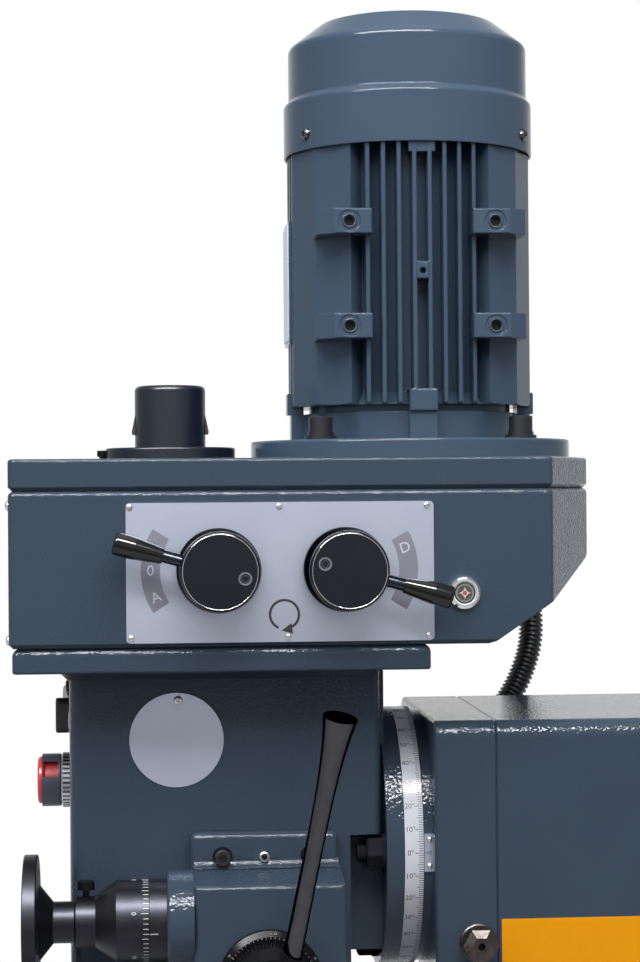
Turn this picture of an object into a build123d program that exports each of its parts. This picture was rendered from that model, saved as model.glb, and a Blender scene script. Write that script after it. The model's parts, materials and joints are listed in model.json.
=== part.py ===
"""Head and ram of a gear-head mill drill, one STEP file for each piece.

Frame: X to the operator's right, Y to the rear, Z up. The origin is on the spindle
axis at the end face of the spindle nose. Every size is in millimetres.
"""
import math
import os

from build123d import *

# Fits
RUN = 0.05  # radial clearance of a shaft that turns or slides in its bore
SEAT = 0.02  # radial clearance of a piece pushed into its seat
GAP = 0.4  # air between faces that move past each other

# Gear box: a hollow casting with a lid above and a thick plate below
HEAD_TOP = 383.2
BASE_T = 18.4
BASE_HALF = 147.0
BASE_FRONT = -115.8
BASE_BACK = 186.0
BOX_HALF = 150.0
BOX_FRONT = -118.0
BOX_SIDE_BACK = 274.6
BOX_BACK = 319.5
BOX_BACK_HALF = 50.0
BOX_HEIGHT = 112.6
BOX_WALL = 12.0
BOX_FLOOR = 14.0
LID_T = 23.2
RAMP_FRONT = 231.0
RAMP_RISE = 60.0
RAMP_CORNER = 9.0

# Head casting and the swivel behind it
HEAD_HALF = 90.0
HEAD_FRONT = -77.5
HEAD_BACK = 131.0
HEAD_SHOULDER_BACK = 154.0
HEAD_BOTTOM = 78.0
SHOULDER_BOTTOM = 256.0
NECK_BOTTOM = 165.0
QUILL_BOSS_WALL = 19.0
QUILL_BOSS_BOTTOM = 52.0
SWIVEL_Z = 243.0
FLANGE_R = 100.0
FLANGE_FRONT = 157.5
FLANGE_BACK = 185.0
SCALE_FRONT = 171.0
SCALE_T = 1.5
SPIGOT_R = 40.0
SPIGOT_LENGTH = 24.0
STUD_INSET = 18.0
STUD_R = 6.0
STUD_ANGLES = (-1.4, 181.4, 270.0)
NUT_FLATS = 24.0
NUT_T = 11.5
NUT_WASHER_R = 14.0
NUT_WASHER_T = 2.5
NECK_CLEARANCE = 6.0

# Ram
RAM_HALF = 112.0
RAM_TOP = 341.5
RAM_BOTTOM = 140.0
PLATE_FRONT = 192.2
PLATE_T = 46.1
RAM_BACK = 640.0
RAM_WALL = 18.0
RAM_CORNER = 12.0
DOVETAIL_TOP_HALF = 62.0
DOVETAIL_FOOT_HALF = 80.0
DOVETAIL_H = 30.0
SIDE_BOLT_Y = 223.7
SIDE_BOLT_Z = 178.0
SIDE_BOLT_R = 8.0
SIDE_BOLT_FLATS = 24.0
SIDE_WASHER_T = 3.0
SIDE_HEAD_T = 14.0
SIDE_CENTRE_R = 3.0

# Quill, spindle and drawbar
NOSE_R = 32.0
NOSE_H = 14.0
QUILL_R = 45.0
QUILL_TOP = 305.0
QUILL_TRAVEL = 120.0
LOWER_BEARING_R = 37.5
UPPER_BEARING_R = 36.0
SPINDLE_R = 22.5
SPINDLE_UPPER_R = 17.5
SPINDLE_RISE = 22.0  # from the top of the gear box to the end of the splines
COLLET_MOUTH_R = 15.9
COLLET_R = 12.05
COLLET_TAPER = 25.8
COLLET_LENGTH = 60.0
DRAWBAR_R = 5.5
SPLINE_R = 17.0
SPLINE_ROOT_R = 14.0
SPLINE_WIDTH = 7.0
SPLINES = 6

# Gear train from the motor to the spindle sleeve
MODULE = 2.5
PRESSURE = math.radians(20.0)
BACKLASH = 0.12
GEAR_WIDTH = 18.0
LEVEL_STEP = 26.0
MOTOR_TEETH = 22
LAY1_TEETH = (40, 24)
LAY2_TEETH = (38, 22)
SLEEVE_TEETH = 44
LAY2_ANGLE = math.radians(25.0)
LAY_SHAFT_R = 10.0
LAY_BEARING_R = 23.5
BEARING_H = 12.0
SLEEVE_R = 25.0
SLEEVE_BEARING_R = 40.0

# Motor
MOTOR_Y = 188.3
MOTOR_FLANGE_R = 125.0
MOTOR_FLANGE_T = 14.5
MOTOR_SPIGOT_R = 90.0
MOTOR_BOLT_CIRCLE = 107.5
MOTOR_BOLT_R = 6.0
MOTOR_WASHER_T = 2.5
SPRING_WASHER_T = 2.7
SHIELD_R = 83.5
SHIELD_H = 26.1
FRAME_CORE_R = 77.0
FRAME_BORE_R = 68.0
FIN_R = 95.0
FIN_T = 3.0
FIN_PITCH = 11.5
FINS = 8
FRAME_H = 208.0
FRAME_ROUND = 2.5
GROOVE_FOOT_R = 86.0
GROOVE_FOOT_H = 10.0
LUG_HALF = 10.5
LUG_DROP = 5.5
PAD_HOLE_OUT = 55.0
PAD_HOLE_R = 4.2
PAD_H = 19.0
PAD_LEVELS = (58.3, 136.5)
REAR_SHIELD_T = 14.0
ROTOR_R = 44.5
MOTOR_SHAFT_R = 15.0
MOTOR_BEARING_R = 31.0
UPPER_SHAFT_R = 12.5
UPPER_MOTOR_BEARING_R = 26.0
COWL_R = 97.4
COWL_UPPER_R = 93.6
COWL_TOP_R = 69.0
COWL_T = 1.6
FAN_R = 80.0
FAN_BLADES = 8
TERMINAL_RISE = 82.0
TERMINAL_H = 100.0
TERMINAL_HALF = 48.0
TERMINAL_WALL = 5.0
GLAND_H = 20.0

# Quill feed: rack pinion, worm wheel and worm
PINION_Z = 161.5
PINION_TEETH = 21
PINION_WIDTH = 22.0
RACK_WIDTH = 25.0
PINION_SHAFT_R = 15.0
WORM_MODULE = 2.0
WORM_R = 12.0
WHEEL_TEETH = 28
WHEEL_WIDTH = 16.0
WORM_X = 122.0
WORM_SHAFT_R = 9.0
FEED_FACE_X = 105.0
FEED_FRONT_X = 154.0
FEED_Y = (13.1, 122.0)
FEED_TOP = 236.8
FEED_FRONT_TOP = 230.2
FEED_BOTTOM = 110.0
FEED_FLANGE_Z = (84.0, 261.4)
FEED_FLANGE_ROUND = 5.0
FEED_SCREW_R = 4.0
FEED_HEAD_R = 6.0
FEED_BOSS_R = 36.0
FEED_BOSS_FRONT = -6.5
INDEX_FRONT = -19.0
DIAL_R = 29.5
DIAL_FRONT = -72.0
DIAL_SCREW_R = 2.5
WHEEL_RIM_R = 49.0
RIM_FRONT = -109.5
RIM_BACK = -99.5
RIM_DEPTH = 9.0
WEB_R = 27.5
WEB_BACK = -98.5
WEB_T = 7.0
WHEEL_HUB_R = 15.0
WHEEL_HUB_BACK = -88.4
WHEEL_HUB_FRONT = -102.0
WHEEL_HOLE_R = 5.0
WHEEL_HOLE_OUT = 34.0
WHEEL_HOLES = 3
HUB_R = 31.0
DEPTH_DIAL_R = 38.0
FEED_SHAFT_END = 184.0
LEVER_X = 176.0
LEVER_ROD_R = 6.0
LEVER_R = 6.8
LEVER_TIP_R = 12.3
LEVER_POCKET_R = 8.8
LEVER_REACH = 201.0
LEVER_LEAN = 10.3
LEVER_OFFSET = 9.6
LEVER_FLARE = 15.0
LEVERS = 3

# Speed levers and panel on the right face of the gear box
PANEL_Y = (-34.0, 187.8)
PANEL_Z = (404.8, 505.3)
PANEL_T = 1.0
SPEED_Y = (32.2, 123.5)
SPEED_Z = 456.6
SPEED_ANGLES = (164.4, -15.4)
SPEED_HUB_R = 30.4
SPEED_FACE_R = 26.4
SPEED_HUB_T = 39.0
SPEED_SHAFT_R = 9.0
SPEED_STEM_R = 4.3
SPEED_REACH = 77.5
SPEED_SCREW_OUT = 18.2
SPEED_SCREW_R = 5.3
GRIP_LENGTH = 36.0
GRIP_NECK_R = 5.7
GRIP_R = 8.2
SIGHT_Y = 209.8
SIGHT_Z = 438.6
SIGHT_R = 11.5

# Drawbar cap
CAP_R = 27.5
CAP_H = 48.4
CAP_ROUND = 4.0
CAP_BASE_R = 50.5
CAP_BASE_T = 10.2

# Switches on the front of the head
STOP_Z = 290.0
STOP_BEZEL_R = 21.2
STOP_BEZEL_T = 9.5
STOP_BUTTON_R = 18.2
STOP_HEAD_T = 6.0
STOP_REACH = 26.9
STOP_GUARD_L = 23.5
STOP_GUARD_T = 1.6
STOP_GUARD_FOOT = 1.5
STOP_WINDOW = (4.5, 15.6)
STOP_STEM_R = 10.0
STOP_BARREL_R = 15.5
STOP_GUIDE = 0.3
KNOB_Z = 340.0
KNOB_STEM_R = 5.0
KNOB_REACH = 13.0
KNOB_GRIP_HALF = 13.5
KNOB_BEZEL_T = 3.0
SWITCH_BEZEL_R = 14.0
LAMP_X = -45.0
LAMP_Z = 350.0
LAMP_R = 10.0

# Motor cable in its ribbed hose
HOSE_R = 10.4
HOSE_ROOT_R = 8.8
HOSE_BORE_R = 7.4
HOSE_RIBS = 100
HOSE_POINTS = (
    (-135, 205, 640),
    (-135, 205, 596),
    (-160, 222, 550),
    (-174, 254, 512),
    (-178, 289, 472),
    (-174, 311, 428),
    (-168, 314, 386),
    (-163, 302, 350),
    (-158, 283, 322),
    (-156, 261, 300),
)

# Levels and centres that follow from the sizes above
BOX_BOTTOM = HEAD_TOP + BASE_T
BOX_FLOOR_TOP = BOX_BOTTOM + BOX_FLOOR
LID_BOTTOM = BOX_BOTTOM + BOX_HEIGHT
LID_TOP = LID_BOTTOM + LID_T
SPINDLE_TOP = LID_TOP + SPINDLE_RISE
LEVEL_3 = BOX_FLOOR_TOP + 10.0
LEVEL_2 = LEVEL_3 + LEVEL_STEP
LEVEL_1 = LEVEL_2 + LEVEL_STEP
FLANGE_TOP = LID_TOP + MOTOR_FLANGE_T
FRAME_BOTTOM = FLANGE_TOP + SHIELD_H
FRAME_TOP = FRAME_BOTTOM + FRAME_H
COWL_BOTTOM = FRAME_TOP - 11.5
COWL_STEP = COWL_BOTTOM + 41.3
COWL_SHOULDER = COWL_STEP + 43.4
COWL_TOP = COWL_SHOULDER + 18.8
QUILL_BOTTOM = NOSE_H + GAP
QUILL_BOSS_R = QUILL_R + QUILL_BOSS_WALL
RACK_FLAT = math.sqrt(QUILL_R**2 - (RACK_WIDTH / 2) ** 2)
PINION_R = MODULE * PINION_TEETH / 2
PINION_Y = RACK_FLAT - MODULE + PINION_R
WHEEL_R = WORM_MODULE * WHEEL_TEETH / 2
WORM_Z = PINION_Z + WHEEL_R + WORM_R
WORM_PITCH = math.pi * WORM_MODULE
PLATE_BACK = PLATE_FRONT + PLATE_T
STUD_CIRCLE = FLANGE_R - STUD_INSET
NECK_HALF = STUD_CIRCLE - NUT_WASHER_R - NECK_CLEARANCE
RAM_FRONT = PLATE_BACK
FRAME_PAD = FIN_R + 0.3
TERMINAL_Y = (MOTOR_Y - TERMINAL_HALF, MOTOR_Y + TERMINAL_HALF)
TERMINAL_Z = (FRAME_BOTTOM + TERMINAL_RISE, FRAME_BOTTOM + TERMINAL_RISE + TERMINAL_H)


def between(a, b, length_a, length_b, side):
    """Point at length_a from a and length_b from b, on the chosen side of the line."""
    dx, dy = b[0] - a[0], b[1] - a[1]
    span = math.hypot(dx, dy)
    along = (span**2 + length_a**2 - length_b**2) / (2 * span)
    across = side * math.sqrt(length_a**2 - along**2)
    return (a[0] + (along * dx - across * dy) / span, a[1] + (along * dy + across * dx) / span)


def centres(teeth_a, teeth_b):
    """Distance between the axes of two meshing gears."""
    return MODULE * (teeth_a + teeth_b) / 2


SPINDLE_AT = (0.0, 0.0)
MOTOR_AT = (0.0, MOTOR_Y)
SLEEVE_CENTRES = centres(LAY2_TEETH[1], SLEEVE_TEETH)
LAY2_AT = (SLEEVE_CENTRES * math.sin(LAY2_ANGLE), SLEEVE_CENTRES * math.cos(LAY2_ANGLE))
LAY1_AT = between(
    LAY2_AT, MOTOR_AT, centres(LAY1_TEETH[1], LAY2_TEETH[0]), centres(MOTOR_TEETH, LAY1_TEETH[0]), 1
)


def block(x_range, y_range, z_range):
    """Box between two values on each axis."""
    ranges = (x_range, y_range, z_range)
    middle = [(low + high) / 2 for low, high in ranges]
    return Pos(*middle) * Box(*[high - low for low, high in ranges])


def rod_z(radius, z_range, x=0.0, y=0.0):
    low, high = z_range
    return Pos(x, y, (low + high) / 2) * Cylinder(radius, high - low)


def rod_y(radius, y_range, x=0.0, z=0.0):
    low, high = y_range
    return Pos(x, (low + high) / 2, z) * Rot(90, 0, 0) * Cylinder(radius, high - low)


def rod_x(radius, x_range, y=0.0, z=0.0):
    low, high = x_range
    return Pos((low + high) / 2, y, z) * Rot(0, 90, 0) * Cylinder(radius, high - low)


def turned(points, rounding=0.0):
    """Solid turned about Z from a closed outline of (radius, height) points.

    The rounding is one radius for every corner off the axis, or a list with one for each point.
    """
    corners = [(radius, 0, height) for radius, height in points]
    if rounding:
        radii = rounding
        if not isinstance(rounding, list):
            radii = [0 if radius < 1e-6 else rounding for radius, _ in points]
        outline = FilletPolyline(*corners, radius=radii, close=True)
    else:
        outline = Polyline(*corners, close=True)
    return revolve(make_face(outline), Axis.Z)


def turned_y(points, x, z, rounding=0.0):
    """Turned solid whose axis lies along Y; heights are values of Y."""
    return Pos(x, 0, z) * Rot(-90, 0, 0) * turned(points, rounding)


def turned_x(points, y, z, rounding=0.0):
    """Turned solid whose axis lies along X; heights are values of X."""
    return Pos(0, y, z) * Rot(0, 90, 0) * turned(points, rounding)


def joined(pieces):
    """One solid from pieces that overlap."""
    whole = pieces[0]
    for piece in pieces[1:]:
        whole += piece
    return whole


def group(pieces):
    """Several separate solids kept in one node."""
    return Compound(children=[Part(piece.wrapped) for piece in pieces])


def hexagon(flats, height):
    """Hexagonal prism standing on Z = 0."""
    return extrude(RegularPolygon(flats / 2, 6, major_radius=False), height)


def edges_on(solid, axis, last):
    """Edges of the outermost face along an axis."""
    faces = solid.faces().sort_by(axis)
    return (faces[-1] if last else faces[0]).edges()


def polar(radius, angle):
    return (radius * math.cos(angle), radius * math.sin(angle))


def involute(angle):
    return math.tan(angle) - angle


def gear_face(teeth, module, phase, backlash):
    """Involute gear outline with one tooth centred on the phase angle."""
    pitch_r = module * teeth / 2
    base_r = pitch_r * math.cos(PRESSURE)
    tip_r = pitch_r + module
    root_r = pitch_r - 1.25 * module
    start_r = max(base_r, root_r)
    half = math.pi / (2 * teeth) - backlash / (2 * pitch_r)

    def half_angle(radius):
        turn = math.acos(min(1.0, base_r / radius))
        return half + involute(PRESSURE) - involute(turn)

    flank = [(radius, half_angle(radius)) for radius in (start_r, (start_r + tip_r) / 2, tip_r)]
    edges = []
    step = 2 * math.pi / teeth
    for tooth in range(teeth):
        centre = phase + tooth * step
        rise = [polar(radius, centre - angle) for radius, angle in flank]
        fall = [polar(radius, centre + angle) for radius, angle in reversed(flank)]
        foot_in = polar(root_r, centre - flank[0][1])
        foot_out = polar(root_r, centre + flank[0][1])
        next_foot = polar(root_r, centre + step - flank[0][1])
        if start_r - root_r > 0.01:
            edges.append(Line(foot_in, rise[0]))
            edges.append(Line(fall[2], foot_out))
        else:
            rise[0] = foot_in
            fall[2] = foot_out
        edges.append(ThreePointArc(*rise))
        edges.append(Line(rise[2], fall[0]))
        edges.append(ThreePointArc(*fall))
        edges.append(Line(foot_out, next_foot))
    return make_face(edges)


def gear(teeth, phase, bottom, centre):
    """Spur gear of the drive train, its lower face at the given height."""
    face = gear_face(teeth, MODULE, phase, BACKLASH)
    return Pos(centre[0], centre[1], bottom) * extrude(face, GEAR_WIDTH)


def mesh_phase(teeth_a, phase_a, at_a, teeth_b, at_b):
    """Phase of gear b that puts its gaps on the teeth of gear a."""
    towards = math.atan2(at_b[1] - at_a[1], at_b[0] - at_a[0])
    part_of_pitch = teeth_a * (towards - phase_a) / (2 * math.pi)
    return towards + math.pi - 2 * math.pi / teeth_b * (0.5 - part_of_pitch)


def bearing(inner_r, outer_r, z_range, at=(0.0, 0.0)):
    """Ball bearing as one ring with a groove in each face."""
    low, high = z_range
    middle = (inner_r + outer_r) / 2
    groove = (outer_r - inner_r) / 5
    ring = rod_z(outer_r - SEAT, z_range) - rod_z(inner_r + RUN, z_range)
    for z in ((low - 1, low + 1), (high - 1, high + 1)):
        ring -= rod_z(middle + groove, z) - rod_z(middle - groove, z)
    return Pos(at[0], at[1], 0) * ring


def cap_screw(shank_r, length, head_r, head_h):
    """Socket screw along Z, its head standing on Z = 0 and its shank below."""
    head = rod_z(head_r, (0, head_h))
    head = chamfer(edges_on(head, Axis.Z, True), 0.8)
    socket = Pos(0, 0, head_h * 0.45) * hexagon(head_r, head_h)
    return head + rod_z(shank_r, (-length, 0.1)) - socket


# Ram


def ram_front_plate():
    plate = block((-RAM_HALF, RAM_HALF), (PLATE_FRONT, PLATE_BACK), (RAM_BOTTOM, RAM_TOP))
    top_edges = plate.edges().filter_by(Axis.Y).group_by(Axis.Z)[-1]
    plate = fillet(top_edges, RAM_CORNER)
    plate = chamfer(edges_on(plate, Axis.Y, True), 1.2)
    plate = fillet(edges_on(plate, Axis.Y, False), 3.0)
    plate += rod_y(FLANGE_R - 2, (FLANGE_BACK + GAP, PLATE_FRONT + 1), z=SWIVEL_Z)
    plate -= rod_y(SPIGOT_R + RUN, (FLANGE_BACK, FLANGE_BACK + SPIGOT_LENGTH + 3), z=SWIVEL_Z)
    slot = rod_y(STUD_CIRCLE + 7, (FLANGE_BACK, FLANGE_BACK + 12), z=SWIVEL_Z)
    slot -= rod_y(STUD_CIRCLE - 7, (FLANGE_BACK, FLANGE_BACK + 12), z=SWIVEL_Z)
    wide = rod_y(STUD_CIRCLE + 12, (FLANGE_BACK + 12, FLANGE_BACK + 24), z=SWIVEL_Z)
    wide -= rod_y(STUD_CIRCLE - 12, (FLANGE_BACK + 12, FLANGE_BACK + 24), z=SWIVEL_Z)
    plate = plate - slot - wide
    for side in (-1, 1):
        ends = sorted((side * (RAM_HALF - 11), side * (RAM_HALF + 1)))
        plate -= rod_x(SIDE_BOLT_R + SEAT, ends, SIDE_BOLT_Y, SIDE_BOLT_Z)
    return plate


def ram_casting():
    beam = block((-RAM_HALF, RAM_HALF), (RAM_FRONT, RAM_BACK), (RAM_BOTTOM, RAM_TOP))
    beam = fillet(beam.edges().filter_by(Axis.Y).group_by(Axis.Z)[-1], RAM_CORNER)
    beam = chamfer(edges_on(beam, Axis.Y, False), 1.2)
    beam = fillet(edges_on(beam, Axis.Y, True), 5.0)
    beam -= block(
        (-RAM_HALF + RAM_WALL, RAM_HALF - RAM_WALL),
        (RAM_FRONT - 1, RAM_BACK - RAM_WALL),
        (RAM_BOTTOM + RAM_WALL, RAM_TOP - RAM_WALL),
    )
    foot = RAM_BOTTOM - DOVETAIL_H
    outline = Polyline(
        (-DOVETAIL_TOP_HALF, RAM_BOTTOM),
        (-DOVETAIL_FOOT_HALF, foot),
        (DOVETAIL_FOOT_HALF, foot),
        (DOVETAIL_TOP_HALF, RAM_BOTTOM),
        (DOVETAIL_TOP_HALF, RAM_BOTTOM + 2),
        (-DOVETAIL_TOP_HALF, RAM_BOTTOM + 2),
        close=True,
    )
    face = Plane.XZ.offset(-RAM_FRONT) * make_face(outline)
    return beam + extrude(face, -(RAM_BACK - RAM_FRONT))


def ram_side_bolts():
    bolts = []
    for side in (-1, 1):
        washer = rod_z(14, (0, SIDE_WASHER_T)) - rod_z(SIDE_BOLT_R + SEAT, (-1, SIDE_WASHER_T + 1))
        head = Pos(0, 0, SIDE_WASHER_T) * hexagon(SIDE_BOLT_FLATS, SIDE_HEAD_T)
        head = chamfer(edges_on(head, Axis.Z, True), 1.2)
        head -= rod_z(SIDE_CENTRE_R, (SIDE_WASHER_T + SIDE_HEAD_T - 5, SIDE_WASHER_T + SIDE_HEAD_T + 1))
        bolt = head + rod_z(SIDE_BOLT_R, (-10, SIDE_WASHER_T + 1))
        turn = Rot(0, 90 * side, 0)
        place = Pos(side * RAM_HALF, SIDE_BOLT_Y, SIDE_BOLT_Z) * turn
        bolts += [place * washer, place * bolt]
    return group(bolts)


def zero_plate():
    radius = FLANGE_R - 2
    plate = block(
        (radius - 2, radius + 1), (FLANGE_BACK + GAP + 0.2, PLATE_FRONT), (SWIVEL_Z - 14, SWIVEL_Z + 14)
    )
    return plate - rod_y(radius, (FLANGE_BACK, PLATE_FRONT + 1), z=SWIVEL_Z)


def hose_path():
    """Middle line of the hose: straight runs joined by tangent arcs."""
    points = [Vector(*point) for point in HOSE_POINTS]
    radii = []
    for before, corner, after in zip(points, points[1:], points[2:]):
        turn = (corner - before).get_angle(after - corner)
        shorter = min((corner - before).length, (after - corner).length)
        radii.append(0.46 * shorter / math.tan(math.radians(turn / 2)))
    print("hose radii", [round(radius) for radius in radii])
    return FilletPolyline(*points, radius=radii)


def conduit():
    path = hose_path()
    length = path.length
    rib = length / HOSE_RIBS
    steps = ((0.0, HOSE_ROOT_R), (0.2, HOSE_R), (0.55, HOSE_R), (0.75, HOSE_ROOT_R))
    outside, inside = [], []
    for index in range(HOSE_RIBS):
        for part_of_rib, radius in steps:
            outside.append(hose_circle(path, (index + part_of_rib) * rib / length, radius))
    outside.append(hose_circle(path, 1.0, HOSE_ROOT_R))
    for index in range(HOSE_RIBS + 1):
        inside.append(hose_circle(path, index / HOSE_RIBS, HOSE_BORE_R))
    return loft(outside, ruled=True) - loft(inside, ruled=True)


def hose_circle(path, position, radius):
    direction = path % position
    plane = Plane(path @ position, x_dir=Vector(1, 0, 0).cross(direction), z_dir=direction)
    return plane * Circle(radius)


def conduit_elbow():
    end = Vector(*HOSE_POINTS[-1])
    direction = (Vector(*HOSE_POINTS[-2]) - end).normalized()
    centre = end - direction * 20
    foot = rod_x(16, (-RAM_HALF - 7, -RAM_HALF), centre.Y, centre.Z)
    arm = rod_x(12.5, (centre.X, -RAM_HALF - 1), centre.Y, centre.Z)
    mouth = Plane(centre, x_dir=(1, 0, 0), z_dir=direction) * Pos(0, 0, 10) * Cylinder(13, 20)
    return foot + arm + mouth + Pos(centre.X, centre.Y, centre.Z) * Sphere(13)


def conduit_gland():
    x, y, _ = HOSE_POINTS[0]
    low = TERMINAL_Z[0] - GLAND_H
    body = rod_z(13.5, (low, low + GLAND_H / 2), x, y)
    nut = Pos(x, y, low + GLAND_H / 2 - 2) * hexagon(27, GLAND_H / 2 + 2)
    return body + nut


# Head casting and swivel


def head_casting():
    body = block((-HEAD_HALF, HEAD_HALF), (HEAD_FRONT, HEAD_BACK), (HEAD_BOTTOM, HEAD_TOP))
    body = fillet(body.edges().filter_by(Axis.Z).group_by(Axis.Y)[0], 12.0)
    body = fillet(edges_on(body, Axis.Z, False), 6.0)
    shoulder = block(
        (-HEAD_HALF, HEAD_HALF), (HEAD_BACK - 30, HEAD_SHOULDER_BACK), (SHOULDER_BOTTOM, HEAD_TOP)
    )
    shoulder = fillet(shoulder.edges().filter_by(Axis.Z).group_by(Axis.Y)[-1], 6.0)
    neck = block((-NECK_HALF, NECK_HALF), (HEAD_BACK - 5, FLANGE_FRONT + 2), (NECK_BOTTOM, HEAD_TOP))
    boss = rod_z(QUILL_BOSS_R, (QUILL_BOSS_BOTTOM, HEAD_BOTTOM + 8))
    boss = fillet(edges_on(boss, Axis.Z, False), 3.0)
    flange = turned_y(
        [
            (0, FLANGE_FRONT),
            (FLANGE_R, FLANGE_FRONT),
            (FLANGE_R, SCALE_FRONT),
            (FLANGE_R - SCALE_T, SCALE_FRONT),
            (FLANGE_R - SCALE_T, FLANGE_BACK),
            (SPIGOT_R, FLANGE_BACK),
            (SPIGOT_R, FLANGE_BACK + SPIGOT_LENGTH),
            (0, FLANGE_BACK + SPIGOT_LENGTH),
        ],
        0,
        SWIVEL_Z,
    )
    collar = block(
        (-HEAD_HALF - 6, HEAD_HALF + 6), (HEAD_FRONT - 6, HEAD_SHOULDER_BACK), (HEAD_TOP - 9, HEAD_TOP)
    )
    collar = fillet(collar.edges().filter_by(Axis.Z), 8.0)
    collar = chamfer(edges_on(collar, Axis.Z, False), 5.0)
    casting = joined([body, shoulder, neck, flange, boss, collar])
    casting -= rod_z(QUILL_R + RUN, (QUILL_BOSS_BOTTOM - 1, HEAD_TOP + 1))
    casting -= rod_x(PINION_R + MODULE + 2, (-16, HEAD_HALF + 1), PINION_Y, PINION_Z)
    casting -= rod_x(PINION_SHAFT_R + RUN, (-HEAD_HALF - 1, 0), PINION_Y, PINION_Z)
    casting -= block((-21, 21), (HEAD_BACK, FLANGE_FRONT), (NECK_BOTTOM - 1, SWIVEL_Z - STUD_CIRCLE + 20))
    for angle in STUD_ANGLES:
        x, z = polar(STUD_CIRCLE, math.radians(angle))
        casting -= rod_y(STUD_R + 0.3, (FLANGE_FRONT - 1, FLANGE_BACK + 1), x, SWIVEL_Z + z)
    for y, z in feed_screw_places():
        casting -= rod_x(FEED_SCREW_R + SEAT, (HEAD_HALF - 21, HEAD_HALF + 1), y, z)
    casting -= rod_y(STOP_STEM_R + 3, (HEAD_FRONT - 1, HEAD_FRONT + 20), 0, STOP_Z)
    return casting


def swivel_scale():
    ring = rod_y(FLANGE_R, (SCALE_FRONT, FLANGE_BACK), z=SWIVEL_Z)
    return ring - rod_y(FLANGE_R - SCALE_T + SEAT, (SCALE_FRONT - 1, FLANGE_BACK + 1), z=SWIVEL_Z)


def swivel_studs():
    """T studs whose heads lie in the ram's annular slot, with washers and nuts."""
    head_front = FLANGE_BACK + 12 + GAP
    stud = rod_z(STUD_R, (FLANGE_FRONT - 21, head_front + 1))
    stud += rod_z(11.2, (head_front, head_front + 10))
    washer = rod_z(NUT_WASHER_R, (FLANGE_FRONT - NUT_WASHER_T, FLANGE_FRONT))
    washer -= rod_z(STUD_R + SEAT, (FLANGE_FRONT - 4, FLANGE_FRONT + 1))
    nut = Pos(0, 0, FLANGE_FRONT - NUT_WASHER_T - NUT_T) * hexagon(NUT_FLATS, NUT_T)
    nut = chamfer(edges_on(nut, Axis.Z, False), 1.2)
    nut -= rod_z(STUD_R + SEAT, (FLANGE_FRONT - 30, FLANGE_FRONT))
    pieces = []
    for angle in STUD_ANGLES:
        x, z = polar(STUD_CIRCLE, math.radians(angle))
        place = Pos(x, 0, SWIVEL_Z + z) * Rot(-90, 0, 0)
        pieces += [place * piece for piece in (stud, washer, nut)]
    return group(pieces)


# Gear box


def box_outline(inset):
    """Plan of the gear box, moved inwards by the inset."""
    outline = Polyline(
        (-BOX_HALF, BOX_FRONT),
        (BOX_HALF, BOX_FRONT),
        (BOX_HALF, BOX_SIDE_BACK),
        (BOX_BACK_HALF, BOX_BACK),
        (-BOX_BACK_HALF, BOX_BACK),
        (-BOX_HALF, BOX_SIDE_BACK),
        close=True,
    )
    face = make_face(outline)
    if inset:
        return offset(face, amount=-inset, kind=Kind.INTERSECTION)
    return fillet(face.vertices(), 4.0)


def ramp(inset):
    """Wedge under the sloping rear of the box, whose lower corner is rounded."""
    slope = RAMP_RISE / (BOX_BACK - RAMP_FRONT)
    lift = inset * math.hypot(1, slope)
    start = RAMP_FRONT - 200
    back = BOX_BACK - inset
    corner = BOX_BOTTOM + lift + (back - RAMP_FRONT) * slope
    under = BOX_BOTTOM - 200 * slope - 50
    outline = FilletPolyline(
        (start, BOX_BOTTOM + lift - 200 * slope),
        (back, corner),
        (back, corner + 30),
        (BOX_BACK + 100, corner + 30),
        (BOX_BACK + 100, under),
        (start, under),
        radius=[0, RAMP_CORNER, 0, 0, 0, 0],
        close=True,
    )
    face = Plane.YZ.offset(-BOX_HALF - 10) * make_face(outline)
    return extrude(face, 2 * BOX_HALF + 20)


def gearbox_body():
    body = Pos(0, 0, BOX_BOTTOM) * extrude(box_outline(0), BOX_HEIGHT) - ramp(0)
    body = fillet(edges_on(body, Axis.Z, True), 4.0)
    body = chamfer(edges_on(body, Axis.Z, False), 3.0)
    body -= Pos(0, 0, BOX_FLOOR_TOP) * extrude(box_outline(BOX_WALL), BOX_HEIGHT) - ramp(BOX_WALL)
    seat = (BOX_FLOOR_TOP - BEARING_H, BOX_FLOOR_TOP + 1)
    for at in (LAY1_AT, LAY2_AT):
        body -= rod_z(LAY_BEARING_R, seat, *at)
    body -= rod_z(SLEEVE_BEARING_R, seat)
    body -= rod_z(30, (BOX_BOTTOM - 1, BOX_FLOOR_TOP))
    for y in SPEED_Y:
        body -= rod_x(SPEED_SHAFT_R + RUN, (BOX_HALF - BOX_WALL - 1, BOX_HALF + 1), y, SPEED_Z)
    body -= rod_x(SIGHT_R - 3, (BOX_HALF - BOX_WALL - 1, BOX_HALF + 1), SIGHT_Y, SIGHT_Z)
    return body


def gearbox_lid():
    lid = Pos(0, 0, LID_BOTTOM) * extrude(box_outline(0), LID_T)
    lid = fillet(edges_on(lid, Axis.Z, True), 2.5)
    lid = chamfer(edges_on(lid, Axis.Z, False), 3.0)
    seat = (LID_BOTTOM - 1, LID_BOTTOM + BEARING_H)
    for at in (LAY1_AT, LAY2_AT):
        lid -= rod_z(LAY_BEARING_R, seat, *at)
    lid -= rod_z(SLEEVE_BEARING_R, seat)
    lid -= rod_z(28, (LID_BOTTOM, LID_TOP + 1))
    lid -= rod_z(MOTOR_SPIGOT_R + SEAT, (LID_TOP - 4, LID_TOP + 1), *MOTOR_AT)
    lid -= rod_z(40, (LID_BOTTOM - 1, LID_TOP), *MOTOR_AT)
    for x, y in motor_bolt_places():
        lid -= rod_z(MOTOR_BOLT_R + SEAT, (LID_TOP - 15, LID_TOP + 1), x, y)
    return lid


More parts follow.
